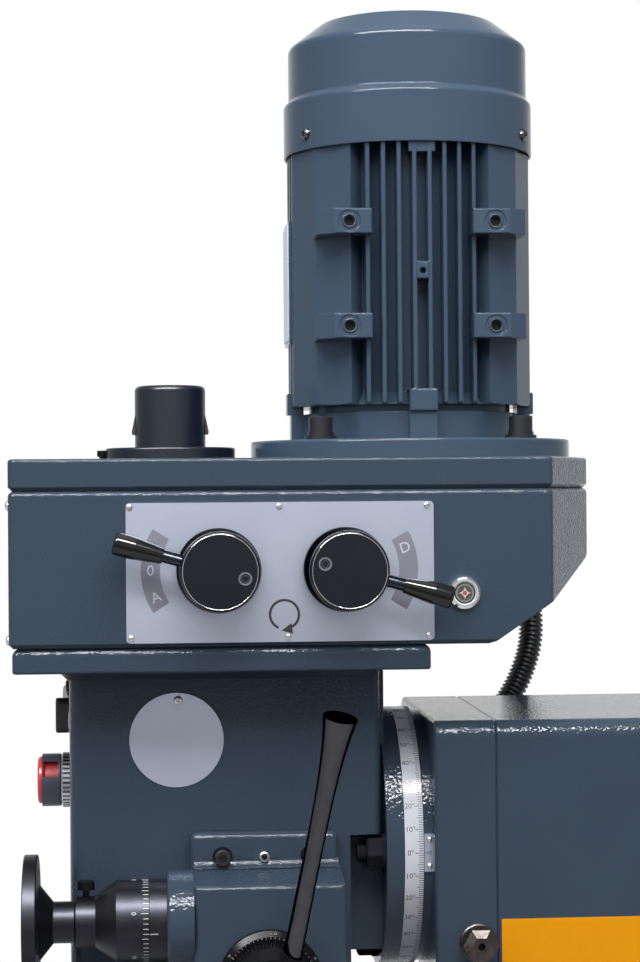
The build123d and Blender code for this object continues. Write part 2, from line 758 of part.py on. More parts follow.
def gearbox_base_plate():
    plate = block((-BASE_HALF, BASE_HALF), (BASE_FRONT, BASE_BACK), (HEAD_TOP, BOX_BOTTOM))
    plate = fillet(plate.edges().filter_by(Axis.Z), 4.0)
    plate = fillet(edges_on(plate, Axis.Z, True), 6.0)
    plate = fillet(edges_on(plate, Axis.Z, False), 2.0)
    return plate - rod_z(30, (HEAD_TOP - 1, BOX_BOTTOM + 1))


def speed_panel():
    sheet = block((BOX_HALF, BOX_HALF + PANEL_T), PANEL_Y, PANEL_Z)
    sheet = fillet(sheet.edges().filter_by(Axis.X), 3.0)
    for y in SPEED_Y:
        sheet -= rod_x(SPEED_SHAFT_R + 1, (BOX_HALF - 1, BOX_HALF + 2), y, SPEED_Z)
    return sheet


def sight_ring():
    points = [
        (SIGHT_R - 3, BOX_HALF),
        (SIGHT_R, BOX_HALF),
        (SIGHT_R, BOX_HALF + 3),
        (SIGHT_R - 1.5, BOX_HALF + 4.5),
        (SIGHT_R - 3, BOX_HALF + 4.5),
    ]
    return turned_x(points, SIGHT_Y, SIGHT_Z)


def sight_lens():
    return rod_x(SIGHT_R - 3 - SEAT, (BOX_HALF - 6, BOX_HALF + 3.5), SIGHT_Y, SIGHT_Z)


def blank_plates():
    disc = rod_x(35, (HEAD_HALF, HEAD_HALF + 1), 2, 329)
    side = MOTOR_Y - FRAME_PAD
    plate = block((-38, 14), (side - 1, side), (FRAME_BOTTOM + 53, FRAME_BOTTOM + 143))
    return group([disc, plate])


def drive_bearings():
    floor = (BOX_FLOOR_TOP - BEARING_H, BOX_FLOOR_TOP)
    lid = (LID_BOTTOM, LID_BOTTOM + BEARING_H)
    rings = [bearing(LAY_SHAFT_R, LAY_BEARING_R, z, at) for z in (floor, lid) for at in (LAY1_AT, LAY2_AT)]
    rings += [bearing(SLEEVE_R, SLEEVE_BEARING_R, z) for z in (floor, lid)]
    rings.append(bearing(MOTOR_SHAFT_R, MOTOR_BEARING_R, (FLANGE_TOP + 6, FLANGE_TOP + 22), MOTOR_AT))
    rings.append(bearing(UPPER_SHAFT_R, UPPER_MOTOR_BEARING_R, (FRAME_TOP, FRAME_TOP + 12), MOTOR_AT))
    return group(rings)


def layshaft(at, big, small, big_phase, big_level, small_level):
    shaft = rod_z(LAY_SHAFT_R, (BOX_FLOOR_TOP - BEARING_H + 0.5, LID_BOTTOM + BEARING_H - 0.5), *at)
    shaft += rod_z(14, (BOX_FLOOR_TOP + 1, LID_BOTTOM - 1), *at)
    return joined([shaft, gear(big, big_phase, big_level, at), gear(small, 0.0, small_level, at)])


def layshaft_1():
    phase = mesh_phase(MOTOR_TEETH, 0.0, MOTOR_AT, LAY1_TEETH[0], LAY1_AT)
    return layshaft(LAY1_AT, *LAY1_TEETH, phase, LEVEL_1, LEVEL_2)


def layshaft_2():
    phase = mesh_phase(LAY1_TEETH[1], 0.0, LAY1_AT, LAY2_TEETH[0], LAY2_AT)
    return layshaft(LAY2_AT, *LAY2_TEETH, phase, LEVEL_2, LEVEL_3)


def spline_face(extra):
    """Section of the spindle's splines, grown by the extra clearance."""
    face = Circle(SPLINE_ROOT_R + extra)
    for index in range(SPLINES):
        tooth = Pos(SPLINE_R / 2, 0) * Rectangle(SPLINE_R + 2 * extra, SPLINE_WIDTH + 2 * extra)
        face += Rot(0, 0, index * 360 / SPLINES) * tooth
    return face & Circle(SPLINE_R + extra)


def sleeve_gear():
    phase = mesh_phase(LAY2_TEETH[1], 0.0, LAY2_AT, SLEEVE_TEETH, SPINDLE_AT)
    bottom = BOX_FLOOR_TOP - BEARING_H + 0.5
    top = LID_BOTTOM + BEARING_H
    sleeve = rod_z(SLEEVE_R, (bottom, top))
    sleeve += rod_z(SLEEVE_R + 4, (BOX_FLOOR_TOP + 1, LEVEL_3 + 1))
    sleeve += gear(SLEEVE_TEETH, phase, LEVEL_3, SPINDLE_AT)
    return sleeve - Pos(0, 0, bottom - 1) * extrude(spline_face(0.15), top - bottom + 2)


# Motor


def motor_bolt_places():
    out = MOTOR_BOLT_CIRCLE * math.sqrt(0.5)
    return [(x, MOTOR_Y + y) for x in (-out, out) for y in (-out, out)]


def around_motor(piece):
    """Four copies of a piece at quarter turns round the motor's axis."""
    return [Pos(0, MOTOR_Y, 0) * Rot(0, 0, quarter * 90) * piece for quarter in range(4)]


def motor_shield():
    flange = rod_z(MOTOR_FLANGE_R, (LID_TOP, FLANGE_TOP))
    flange = fillet(edges_on(flange, Axis.Z, True), 2.0)
    body = rod_z(SHIELD_R, (FLANGE_TOP - 1, FRAME_BOTTOM - 5))
    body += rod_z(FRAME_CORE_R + 2, (FLANGE_TOP, FRAME_BOTTOM))
    body -= rod_z(FRAME_BORE_R, (FLANGE_TOP + 6, FRAME_BOTTOM + 1))
    hub = rod_z(MOTOR_BEARING_R + 7, (FLANGE_TOP, FLANGE_TOP + 22))
    hub -= rod_z(MOTOR_BEARING_R, (FLANGE_TOP + 6, FLANGE_TOP + 23))
    shield = joined([flange, rod_z(MOTOR_SPIGOT_R, (LID_TOP - 4, LID_TOP)), body, hub])
    shield = Pos(0, MOTOR_Y, 0) * (shield - rod_z(MOTOR_SHAFT_R + 2, (LID_TOP - 5, FLANGE_TOP + 7)))
    lug = block((SHIELD_R - 9, 94), (-LUG_HALF, LUG_HALF), (FLANGE_TOP - 1, FRAME_BOTTOM - LUG_DROP))
    shield = joined([shield] + around_motor(lug))
    for x, y in motor_bolt_places():
        shield -= rod_z(MOTOR_BOLT_R + SEAT, (LID_TOP - 1, FLANGE_TOP + 1), x, y)
    return shield


def frame_section():
    """Cross section of the finned frame, its front towards +X."""
    offsets = [(index - (FINS - 1) / 2) * FIN_PITCH for index in range(FINS)]
    face = Circle(FRAME_CORE_R)
    for out in offsets:
        face += Pos(0, out) * Rectangle(2 * FIN_R, FIN_T)
    for out in (-20, -12, -4, 4, 12, 20):
        face += Pos(out, 0) * Rectangle(FIN_T, 2 * FIN_R)
    corner = [polar(FIN_R, math.radians(angle)) for angle in (33.5, 54, 76)]
    inner = [polar(FRAME_CORE_R - 6, math.radians(angle)) for angle in (76, 33.5)]
    for flip_x in (-1, 1):
        for flip_y in (-1, 1):
            points = [(flip_x * x, flip_y * y) for x, y in corner + inner]
            face += make_face(Polyline(*points, close=True))
    return (face & Circle(FIN_R)) - Circle(FRAME_BORE_R)


def foot_pad(side, level):
    """Pad with a tapped hole on the front of the frame."""
    points = [(70, 38), (97, 38), (97, 66), (86, 79), (52, 79)]
    outline = Polyline(*[(x, side * y) for x, y in points], close=True)
    pad = Pos(0, 0, level - PAD_H / 2) * extrude(make_face(outline), PAD_H)
    pad = chamfer(edges_on(pad, Axis.X, True), 0.8)
    pad -= rod_x(PAD_HOLE_R, (80, 98), side * PAD_HOLE_OUT, level)
    return pad - rod_x(8.2, (96.3, 98), side * PAD_HOLE_OUT, level)


def motor_frame():
    frame = extrude(frame_section(), FRAME_H)
    frame &= turned([(0, 0), (FIN_R, 0), (FIN_R, FRAME_H), (0, FRAME_H)], FRAME_ROUND)
    core = FRAME_CORE_R - 0.5
    foot = [(FRAME_BORE_R, 0), (GROOVE_FOOT_R, 0), (core, GROOVE_FOOT_H), (FRAME_BORE_R, GROOVE_FOOT_H)]
    frame += turned(foot)
    lug = block((FRAME_CORE_R - 4, 97), (-LUG_HALF, LUG_HALF), (0, 11.3))
    lug += block((SHIELD_R + 0.7, 97), (-LUG_HALF, LUG_HALF), (-LUG_DROP, 1))
    lug = chamfer(edges_on(lug, Axis.X, True), 0.8)
    head = block((FRAME_CORE_R - 4, 94.6), (-LUG_HALF + 0.6, LUG_HALF - 0.6), (FRAME_H - 19.2, FRAME_H))
    for quarter in range(4):
        frame += Rot(0, 0, quarter * 90) * lug
        frame += Rot(0, 0, quarter * 90) * head
    for side in (-1, 1):
        for level in PAD_LEVELS:
            frame += foot_pad(side, level)
    frame += earth_lug()
    bore = rod_z(FRAME_BORE_R, (40, 190))
    frame += block((-40, 16), (-FRAME_PAD, -FRAME_CORE_R + 8), (50, 146)) - bore
    terminal = (TERMINAL_RISE, TERMINAL_RISE + TERMINAL_H)
    frame += block((-FRAME_PAD, -FRAME_CORE_R + 8), (-40, 40), terminal) - bore
    return Pos(0, MOTOR_Y, FRAME_BOTTOM) * frame


def earth_lug():
    """Small block with a tapped hole for the earth wire, in the middle groove."""
    lug = block((FRAME_CORE_R - 3, 96), (-4.8, 4.8), (93.4, 106.6))
    lug = chamfer(edges_on(lug, Axis.X, True), 0.8)
    return lug - rod_x(2.4, (86, 97), 0, 99.5)


def motor_rear_shield():
    reach = COWL_R - COWL_T - 0.05
    shield = rod_z(FRAME_CORE_R + 1, (0, REAR_SHIELD_T))
    for quarter in range(4):
        shield += Rot(0, 0, 45 + quarter * 90) * block((70, reach), (-8, 8), (0, REAR_SHIELD_T))
    shield &= rod_z(reach, (0, REAR_SHIELD_T))
    shield -= rod_z(UPPER_MOTOR_BEARING_R, (-1, 12)) + rod_z(UPPER_SHAFT_R + 1.5, (0, REAR_SHIELD_T + 1))
    return Pos(0, MOTOR_Y, FRAME_TOP) * shield


def fan_cowl():
    outside = [
        (0, COWL_TOP),
        (COWL_TOP_R, COWL_TOP),
        (COWL_UPPER_R, COWL_SHOULDER),
        (COWL_UPPER_R, COWL_STEP + 2.5),
        (COWL_R, COWL_STEP - 1.5),
        (COWL_R, COWL_BOTTOM),
    ]
    inside = [
        (COWL_R - COWL_T, COWL_BOTTOM),
        (COWL_R - COWL_T, COWL_STEP - 2.3),
        (COWL_UPPER_R - COWL_T, COWL_STEP + 1.7),
        (COWL_UPPER_R - COWL_T, COWL_SHOULDER - 0.9),
        (COWL_TOP_R - 0.5, COWL_TOP - COWL_T),
        (0, COWL_TOP - COWL_T),
    ]
    shell = turned(outside + inside, [0, 5.0, 6.0, 2.0, 3.6, 0, 0, 2.0, 3.6, 4.4, 3.4, 0])
    holes = []
    for ring, count in ((16, 6), (30, 12), (44, 18), (57, 24)):
        for index in range(count):
            x, y = polar(ring, 2 * math.pi * index / count)
            holes.append(rod_z(4, (COWL_TOP - 4, COWL_TOP + 1), x, y))
    return Pos(0, MOTOR_Y, 0) * (shell - holes)


def motor_bolts():
    stack = MOTOR_WASHER_T + SPRING_WASHER_T
    bolt = Pos(0, 0, stack) * cap_screw(MOTOR_BOLT_R, 26 + SPRING_WASHER_T, 9, 12)
    washer = rod_z(12, (0, MOTOR_WASHER_T)) + rod_z(9.8, (MOTOR_WASHER_T - 0.5, stack))
    washer -= rod_z(MOTOR_BOLT_R + SEAT, (-1, stack + 1))
    pieces = []
    for x, y in motor_bolt_places():
        pieces += [Pos(x, y, FLANGE_TOP) * bolt, Pos(x, y, FLANGE_TOP) * washer]
    return group(pieces)


def motor_stator():
    outer = FRAME_BORE_R - SEAT
    points = [
        (ROTOR_R + 0.6, 33),
        (outer, 33),
        (outer, 173),
        (62, 173),
        (62, 190),
        (49, 190),
        (49, 173),
        (ROTOR_R + 0.6, 173),
    ]
    winding = rod_z(62, (16, 34)) - rod_z(49, (15, 35))
    return Pos(0, MOTOR_Y, FRAME_BOTTOM) * (turned(points) + winding)


def motor_rotor():
    low = LEVEL_1
    points = [
        (0, low),
        (14, low),
        (14, FLANGE_TOP - 2),
        (MOTOR_SHAFT_R, FLANGE_TOP - 2),
        (MOTOR_SHAFT_R, FRAME_BOTTOM + 32),
        (ROTOR_R, FRAME_BOTTOM + 32),
        (ROTOR_R, FRAME_BOTTOM + 174),
        (MOTOR_SHAFT_R, FRAME_BOTTOM + 174),
        (MOTOR_SHAFT_R, FRAME_TOP - 2),
        (UPPER_SHAFT_R, FRAME_TOP - 2),
        (UPPER_SHAFT_R, FRAME_TOP + 58),
        (0, FRAME_TOP + 58),
    ]
    shaft = Pos(0, MOTOR_Y, 0) * turned(points)
    return shaft + gear(MOTOR_TEETH, 0.0, LEVEL_1, MOTOR_AT)


def cooling_fan():
    bottom = FRAME_TOP + REAR_SHIELD_T + 8
    fan = rod_z(20, (bottom, bottom + 26)) + rod_z(FAN_R, (bottom, bottom + 2.5))
    for index in range(FAN_BLADES):
        blade = block((18, FAN_R), (-1.5, 1.5), (bottom + 1, bottom + 30))
        fan += Rot(0, 0, index * 360 / FAN_BLADES) * blade
    fan -= rod_z(UPPER_SHAFT_R + SEAT, (bottom - 1, bottom + 31))
    return Pos(0, MOTOR_Y, 0) * fan



def terminal_box():
    box = block((-150, -FRAME_PAD), TERMINAL_Y, TERMINAL_Z)
    box = fillet(box.edges().filter_by(Axis.X), 8.0)
    inside_y = (TERMINAL_Y[0] + TERMINAL_WALL, TERMINAL_Y[1] - TERMINAL_WALL)
    inside_z = (TERMINAL_Z[0] + TERMINAL_WALL, TERMINAL_Z[1] - TERMINAL_WALL)
    return box - block((-151, -FRAME_PAD - TERMINAL_WALL), inside_y, inside_z)


def terminal_lid():
    lid = block((-160, -150), TERMINAL_Y, TERMINAL_Z)
    lid = fillet(lid.edges().filter_by(Axis.X), 8.0)
    return fillet(edges_on(lid, Axis.X, False), 4.0)


# Quill and spindle


def quill():
    bottom = QUILL_BOTTOM
    points = [
        (LOWER_BEARING_R, bottom),
        (QUILL_R - 1, bottom),
        (QUILL_R, bottom + 1),
        (QUILL_R, QUILL_TOP),
        (UPPER_BEARING_R, QUILL_TOP),
        (UPPER_BEARING_R, QUILL_TOP - 20),
        (30, QUILL_TOP - 20),
        (30, bottom + 25),
        (LOWER_BEARING_R, bottom + 25),
    ]
    tube = turned(points)
    half = RACK_WIDTH / 2
    tube -= block((-half, half), (RACK_FLAT, QUILL_R + 1), (PINION_Z - 20, QUILL_TOP + 1))
    pitch = math.pi * MODULE
    lean = math.tan(PRESSURE)
    line = RACK_FLAT - MODULE
    middle = pitch / 4 + BACKLASH / 2
    deep = 1.25 * MODULE
    high = MODULE + 1
    gap = Polyline(
        (line - deep, -middle + deep * lean),
        (line + high, -middle - high * lean),
        (line + high, middle + high * lean),
        (line - deep, middle - deep * lean),
        close=True,
    )
    cut = extrude(Plane.YZ.offset(-half) * make_face(gap), RACK_WIDTH)
    count = int((QUILL_TRAVEL + 16) / pitch)
    return tube - [Pos(0, 0, PINION_Z + index * pitch) * cut for index in range(-2, count + 1)]


def spindle_bearings():
    lower = bearing(SPINDLE_R, LOWER_BEARING_R, (QUILL_BOTTOM + 4, QUILL_BOTTOM + 24))
    upper = bearing(SPINDLE_UPPER_R, UPPER_BEARING_R, (QUILL_TOP - 19, QUILL_TOP - 2))
    return group([lower, upper])


def spindle():
    relief_top = COLLET_TAPER + COLLET_LENGTH + 22
    points = [
        (COLLET_MOUTH_R, 0),
        (NOSE_R, 0),
        (NOSE_R, NOSE_H),
        (SPINDLE_R + 6, NOSE_H),
        (SPINDLE_R + 6, QUILL_BOTTOM + 3.5),
        (SPINDLE_R, QUILL_BOTTOM + 3.5),
        (SPINDLE_R, QUILL_BOTTOM + 26),
        (SPINDLE_R - 1, QUILL_BOTTOM + 26),
        (SPINDLE_R - 1, QUILL_TOP - 22),
        (SPINDLE_UPPER_R, QUILL_TOP - 22),
        (SPINDLE_UPPER_R, QUILL_TOP),
        (SPLINE_ROOT_R, QUILL_TOP),
        (SPLINE_ROOT_R, SPINDLE_TOP),
        (DRAWBAR_R + 1, SPINDLE_TOP),
        (DRAWBAR_R + 1, relief_top),
        (COLLET_R + 0.6, relief_top),
        (COLLET_R + 0.6, COLLET_TAPER + COLLET_LENGTH),
        (COLLET_R, COLLET_TAPER + COLLET_LENGTH),
        (COLLET_R, COLLET_TAPER),
    ]
    splines = extrude(spline_face(0) - Circle(SPLINE_ROOT_R - 1), SPINDLE_TOP - QUILL_TOP)
    return turned(points) + Pos(0, 0, QUILL_TOP) * splines


def drawbar():
    low = COLLET_TAPER + COLLET_LENGTH + 2
    rod = rod_z(DRAWBAR_R, (low, SPINDLE_TOP + 1)) + rod_z(12, (SPINDLE_TOP, SPINDLE_TOP + 5))
    return rod + Pos(0, 0, SPINDLE_TOP + 4) * hexagon(17, 18)


def cap_base():
    disc = rod_z(CAP_BASE_R, (LID_TOP, LID_TOP + CAP_BASE_T))
    disc = fillet(edges_on(disc, Axis.Z, True), 1.5)
    disc += rod_z(CAP_R - 3.4, (LID_TOP + CAP_BASE_T - 1, LID_TOP + CAP_BASE_T + 6))
    return disc - rod_z(CAP_R - 7, (LID_TOP - 1, LID_TOP + CAP_BASE_T + 7))


def drawbar_cap():
    low = LID_TOP + CAP_BASE_T
    cup = rod_z(CAP_R, (low, low + CAP_H))
    cup = fillet(edges_on(cup, Axis.Z, True), CAP_ROUND)
    return cup - rod_z(CAP_R - 3, (low - 1, low + CAP_H - 4))


# Quill feed


def feed_screw_places():
    return [(y, z) for y in (35.0, 100.0) for z in (FEED_FLANGE_Z[0] + 12, FEED_FLANGE_Z[1] - 17.5)]


def feed_box():
    plate = block((HEAD_HALF, FEED_FACE_X), (FEED_Y[0] - 2, FEED_Y[1] - 1.5), FEED_FLANGE_Z)
    plate = fillet(plate.edges().filter_by(Axis.X), 5.5)
    plate = fillet(edges_on(plate, Axis.X, True), FEED_FLANGE_ROUND)
    outline = Polyline(
        (FEED_FACE_X - 5, FEED_BOTTOM),
        (FEED_FRONT_X, FEED_BOTTOM),
        (FEED_FRONT_X, FEED_FRONT_TOP),
        (FEED_FACE_X - 5, FEED_TOP),
        close=True,
    )
    box = extrude(Plane.XZ.offset(-FEED_Y[1]) * make_face(outline), FEED_Y[1] - FEED_Y[0])
    box = fillet(edges_on(box, Axis.X, True), 3.5)
    boss = rod_y(FEED_BOSS_R, (FEED_BOSS_FRONT, FEED_Y[0]), WORM_X, WORM_Z)
    boss = fillet(edges_on(boss, Axis.Y, False), 3.0)
    boss += rod_y(FEED_BOSS_R - 8, (FEED_BOSS_FRONT + 1, FEED_Y[0] + 10), WORM_X, WORM_Z)
    boss &= block((HEAD_HALF, FEED_FRONT_X + 10), (FEED_BOSS_FRONT, 60), (FEED_BOTTOM, FEED_TOP + 60))
    housing = joined([plate, box, boss])
    chamber = WHEEL_R + WORM_MODULE + 3
    housing -= rod_x(chamber, (HEAD_HALF - 1, WORM_X + 18), PINION_Y, PINION_Z)
    housing -= rod_x(PINION_SHAFT_R + RUN, (WORM_X, FEED_FRONT_X + 1), PINION_Y, PINION_Z)
    housing -= rod_y(WORM_R + WORM_MODULE + 1, (FEED_BOSS_FRONT - 1, 104), WORM_X, WORM_Z)
    housing -= rod_y(WORM_SHAFT_R + RUN, (100, 114), WORM_X, WORM_Z)
    for y, z in feed_screw_places():
        housing -= rod_x(FEED_SCREW_R + SEAT, (HEAD_HALF - 1, FEED_FACE_X + 1), y, z)
    return housing


def feed_box_screws():
    screw = Rot(0, 90, 0) * cap_screw(FEED_SCREW_R, 34, FEED_HEAD_R, 8)
    return group([Pos(FEED_FACE_X, y, z) * screw for y, z in feed_screw_places()])


def feed_index_ring():
    """Flanged bush that closes the worm's bore and carries the index line."""
    bottom = 34.0
    spigot = WORM_R + WORM_MODULE + 1 - SEAT
    points = [
        (WORM_SHAFT_R + RUN, INDEX_FRONT),
        (DIAL_R, INDEX_FRONT),
        (DIAL_R, FEED_BOSS_FRONT),
        (spigot, FEED_BOSS_FRONT),
        (spigot, bottom),
        (WORM_SHAFT_R + RUN, bottom),
    ]
    return turned_y(points, WORM_X, WORM_Z)


def pinion_shaft():
    shaft = rod_x(PINION_SHAFT_R, (-HEAD_HALF - 22, FEED_SHAFT_END), PINION_Y, PINION_Z)
    face = gear_face(PINION_TEETH, MODULE, -math.pi / 2, BACKLASH)
    teeth = extrude(face, PINION_WIDTH)
    return shaft + Pos(-PINION_WIDTH / 2, PINION_Y, PINION_Z) * Rot(0, 90, 0) * teeth


def spring_cap():
    cup = rod_x(46, (-HEAD_HALF - 32, -HEAD_HALF), PINION_Y, PINION_Z)
    cup = fillet(edges_on(cup, Axis.X, False), 5.0)
    return cup - rod_x(42, (-HEAD_HALF - 28, -HEAD_HALF + 1), PINION_Y, PINION_Z)


def lever_places():
    """Frames with Z along each feed lever, which passes beside the hub's middle."""
    places = []
    flare = math.radians(LEVER_FLARE)
    for index in range(LEVERS):
        angle = math.radians(90 - LEVER_LEAN + index * 360 / LEVERS)
        along = (math.sin(flare), math.cos(flare) * math.cos(angle), math.cos(flare) * math.sin(angle))
        across = (0, -math.sin(angle), math.cos(angle))
        beside = (LEVER_X, PINION_Y - LEVER_OFFSET * across[1], PINION_Z - LEVER_OFFSET * across[2])
        places.append(Plane(beside, x_dir=across, z_dir=along))
    return places


LEVER_START = PINION_SHAFT_R + 3
LEVER_POCKET = LEVER_START + 7.5
LEVER_END = LEVER_REACH / math.cos(math.radians(LEVER_FLARE))


def lever_hub():
    low = FEED_FRONT_X + 1
    points = [(0, low), (HUB_R, low), (HUB_R, 188), (24, 196), (0, 196)]
    hub = turned_x(points, PINION_Y, PINION_Z)
    hub -= rod_x(PINION_SHAFT_R + SEAT, (low - 1, FEED_SHAFT_END + 0.5), PINION_Y, PINION_Z)
    for place in lever_places():
        hub -= place * rod_z(LEVER_ROD_R + SEAT, (LEVER_START - 1, 60))
        hub -= place * rod_z(LEVER_POCKET_R, (LEVER_POCKET, 60))
    return hub


def depth_dial():
    low = FEED_FRONT_X + 1
    points = [
        (HUB_R + SEAT, low),
        (DEPTH_DIAL_R, low),
        (DEPTH_DIAL_R, low + 6),
        (HUB_R + 3, low + 9),
        (HUB_R + SEAT, low + 9),
    ]
    return turned_x(points, PINION_Y, PINION_Z)


def feed_levers():
    """Slim handles that widen in a long curve to an open end."""
    foot = LEVER_POCKET + GAP
    waist = foot + 0.55 * (LEVER_END - foot)
    belly = Spline(
        (LEVER_R, 0, foot),
        (LEVER_R - 0.3, 0, waist),
        (LEVER_TIP_R, 0, LEVER_END),
        tangents=[(0, 0, 1), (0.19, 0, 1)],
    )
    closing = Polyline(
        (LEVER_TIP_R, 0, LEVER_END),
        (LEVER_TIP_R - 1.3, 0, LEVER_END),
        (LEVER_TIP_R - 3.2, 0, LEVER_END - 16),
        (0, 0, LEVER_END - 16),
        (0, 0, LEVER_START),
        (LEVER_ROD_R, 0, LEVER_START),
        (LEVER_ROD_R, 0, foot),
        (LEVER_R, 0, foot),
    )
    lever = revolve(make_face([belly] + closing.edges()), Axis.Z)
    return group([place * lever for place in lever_places()])


def worm_shaft():
    start = PINION_Y - 3 * WORM_PITCH
    first = start - 0.75 * WORM_PITCH + WORM_PITCH
    helix = Helix(WORM_PITCH, 5 * WORM_PITCH, WORM_R - 3)
    half = WORM_PITCH / 4 - 0.15
    lean = math.tan(PRESSURE)
    thread = Polyline(
        (0, -half - 3 * lean),
        (3 + WORM_MODULE, -half + WORM_MODULE * lean),
        (3 + WORM_MODULE, half - WORM_MODULE * lean),
        (0, half + 3 * lean),
        close=True,
    )
    plane = Plane(helix @ 0, x_dir=(1, 0, 0), z_dir=helix % 0)
    ridge = Pos(0, 0, first) * sweep(plane * make_face(thread), path=helix, is_frenet=True)
    shaft = rod_z(WORM_SHAFT_R, (-99, 112)) + rod_z(WORM_R - 1.2 * WORM_MODULE, (35, 99))
    return Pos(WORM_X, 0, WORM_Z) * Rot(-90, 0, 0) * (shaft + ridge)


def worm_wheel():
    lean = WHEEL_WIDTH / 2 * WORM_MODULE / 2 / WORM_R / WHEEL_R
    low = gear_face(WHEEL_TEETH, WORM_MODULE, math.pi - lean, 0.3)
    high = gear_face(WHEEL_TEETH, WORM_MODULE, math.pi + lean, 0.3)
    wheel = loft([low, Pos(0, 0, WHEEL_WIDTH) * high], ruled=True)
    wheel += rod_z(22, (-3, WHEEL_WIDTH + 3))
    wheel -= rod_z(PINION_SHAFT_R + RUN, (-4, WHEEL_WIDTH + 4))
    return Pos(WORM_X - WHEEL_WIDTH / 2, PINION_Y, PINION_Z) * Rot(0, 90, 0) * wheel


def feed_dial():
    """Graduated drum with its cone and clamping collar."""
    back = INDEX_FRONT - GAP
    points = [
        (WORM_SHAFT_R + SEAT, DIAL_FRONT),
        (18.5, DIAL_FRONT),
        (18.5, DIAL_FRONT + 14),
        (DIAL_R - 0.5, -43.5),
        (DIAL_R, -43),
        (DIAL_R, back),
        (WORM_SHAFT_R + SEAT, back),
    ]
    dial = turned_y(points, WORM_X, WORM_Z)
    return dial - rod_z(DIAL_SCREW_R + SEAT, (WORM_Z + 12, WORM_Z + 20), WORM_X, DIAL_FRONT + 7)


def dial_screw():
    screw = rod_z(DIAL_SCREW_R, (WORM_Z + 12.5, WORM_Z + 24), WORM_X, DIAL_FRONT + 7)
    return screw + rod_z(6.5, (WORM_Z + 23.5, WORM_Z + 29.5), WORM_X, DIAL_FRONT + 7)


def feed_handwheel():
    points = [
        (WORM_SHAFT_R + SEAT, DIAL_FRONT - 0.5),
        (WHEEL_HUB_R, DIAL_FRONT - 0.5),
        (WHEEL_HUB_R, WHEEL_HUB_BACK),
        (WEB_R, WEB_BACK),
        (WHEEL_RIM_R, RIM_BACK),
        (WHEEL_RIM_R, RIM_FRONT),
        (WHEEL_RIM_R - RIM_DEPTH, RIM_FRONT),
        (WHEEL_RIM_R - RIM_DEPTH - 2, WEB_BACK - WEB_T),
        (WEB_R + 1, WEB_BACK - WEB_T),
        (WHEEL_HUB_R + 1, WHEEL_HUB_BACK - WEB_T),
        (WHEEL_HUB_R + 1, WHEEL_HUB_FRONT),
        (WORM_SHAFT_R + SEAT, WHEEL_HUB_FRONT),
    ]
    wheel = turned_y(points, WORM_X, WORM_Z, 1.0)
    for index in range(WHEEL_HOLES):
        x, z = polar(WHEEL_HOLE_OUT, math.tau * (0.25 + index / WHEEL_HOLES))
        wheel -= rod_y(WHEEL_HOLE_R, (RIM_FRONT, WHEEL_HUB_BACK), WORM_X + x, WORM_Z + z)
    return wheel


# Speed levers


def speed_direction(index):
    angle = math.radians(SPEED_ANGLES[index])
    return Plane(
        (BOX_HALF + PANEL_T + SPEED_HUB_T * 0.55, SPEED_Y[index], SPEED_Z),
        x_dir=(1, 0, 0),
        z_dir=(0, math.cos(angle), math.sin(angle)),
    )


def speed_hub(index):
    y = SPEED_Y[index]
    low = BOX_HALF + PANEL_T + GAP
    high = BOX_HALF + PANEL_T + SPEED_HUB_T
    points = [
        (0, low),
        (SPEED_HUB_R, low),
        (SPEED_HUB_R, low + 9),
        (SPEED_FACE_R + 0.6, high - 0.8),
        (SPEED_FACE_R, high),
        (0, high),
    ]
    hub = turned_x(points, y, SPEED_Z, [0, 0.8, 14.0, 0.3, 0.3, 0])
    place = speed_direction(index)
    stem = place * rod_z(SPEED_STEM_R, (SPEED_HUB_R - 6, SPEED_REACH - 30))
    shaft = rod_x(SPEED_SHAFT_R, (BOX_HALF - 42, low + 1), y, SPEED_Z)
    arm = block((BOX_HALF - 42, BOX_HALF - 30), (y - 8, y + 8), (SPEED_Z - 30, SPEED_Z + 6))
    back_y, back_z = polar(-SPEED_SCREW_OUT, math.radians(SPEED_ANGLES[index]))
    hub -= rod_x(SPEED_SCREW_R, (high - 2, high + 1), y + back_y, SPEED_Z + back_z)
    return joined([hub, stem, shaft, arm])


def speed_grip(index):
    foot = SPEED_REACH - GRIP_LENGTH
    points = [
        (SPEED_STEM_R + SEAT, foot),
        (GRIP_NECK_R, foot),
        (GRIP_R, foot + 0.6 * GRIP_LENGTH),
        (GRIP_R, SPEED_REACH),
        (0, SPEED_REACH),
        (0, SPEED_REACH - 29.5),
        (SPEED_STEM_R + SEAT, SPEED_REACH - 29.5),
    ]
    return speed_direction(index) * turned(points, [0, 0.4, 12.0, 2.2, 0, 0, 0])


# Switches


def switch_bezels():
    stop = turned_y(
        [
            (STOP_BARREL_R + STOP_GUIDE, HEAD_FRONT - STOP_BEZEL_T),
            (STOP_BEZEL_R - 2, HEAD_FRONT - STOP_BEZEL_T),
            (STOP_BEZEL_R, HEAD_FRONT - STOP_BEZEL_T + 2),
            (STOP_BEZEL_R, HEAD_FRONT),
            (STOP_BARREL_R + STOP_GUIDE, HEAD_FRONT),
        ],
        0,
        STOP_Z,
    )
    knob = rod_y(SWITCH_BEZEL_R, (HEAD_FRONT - KNOB_BEZEL_T, HEAD_FRONT), 0, KNOB_Z)
    knob -= rod_y(KNOB_STEM_R + RUN, (HEAD_FRONT - 4, HEAD_FRONT + 1), 0, KNOB_Z)
    lamp = rod_y(SWITCH_BEZEL_R, (HEAD_FRONT - 7, HEAD_FRONT), LAMP_X, LAMP_Z)
    lamp = fillet(edges_on(lamp, Axis.Y, False), 2.0)
    lamp -= rod_y(LAMP_R + SEAT, (HEAD_FRONT - 8, HEAD_FRONT - 2), LAMP_X, LAMP_Z)
    return group([stop, knob, lamp])


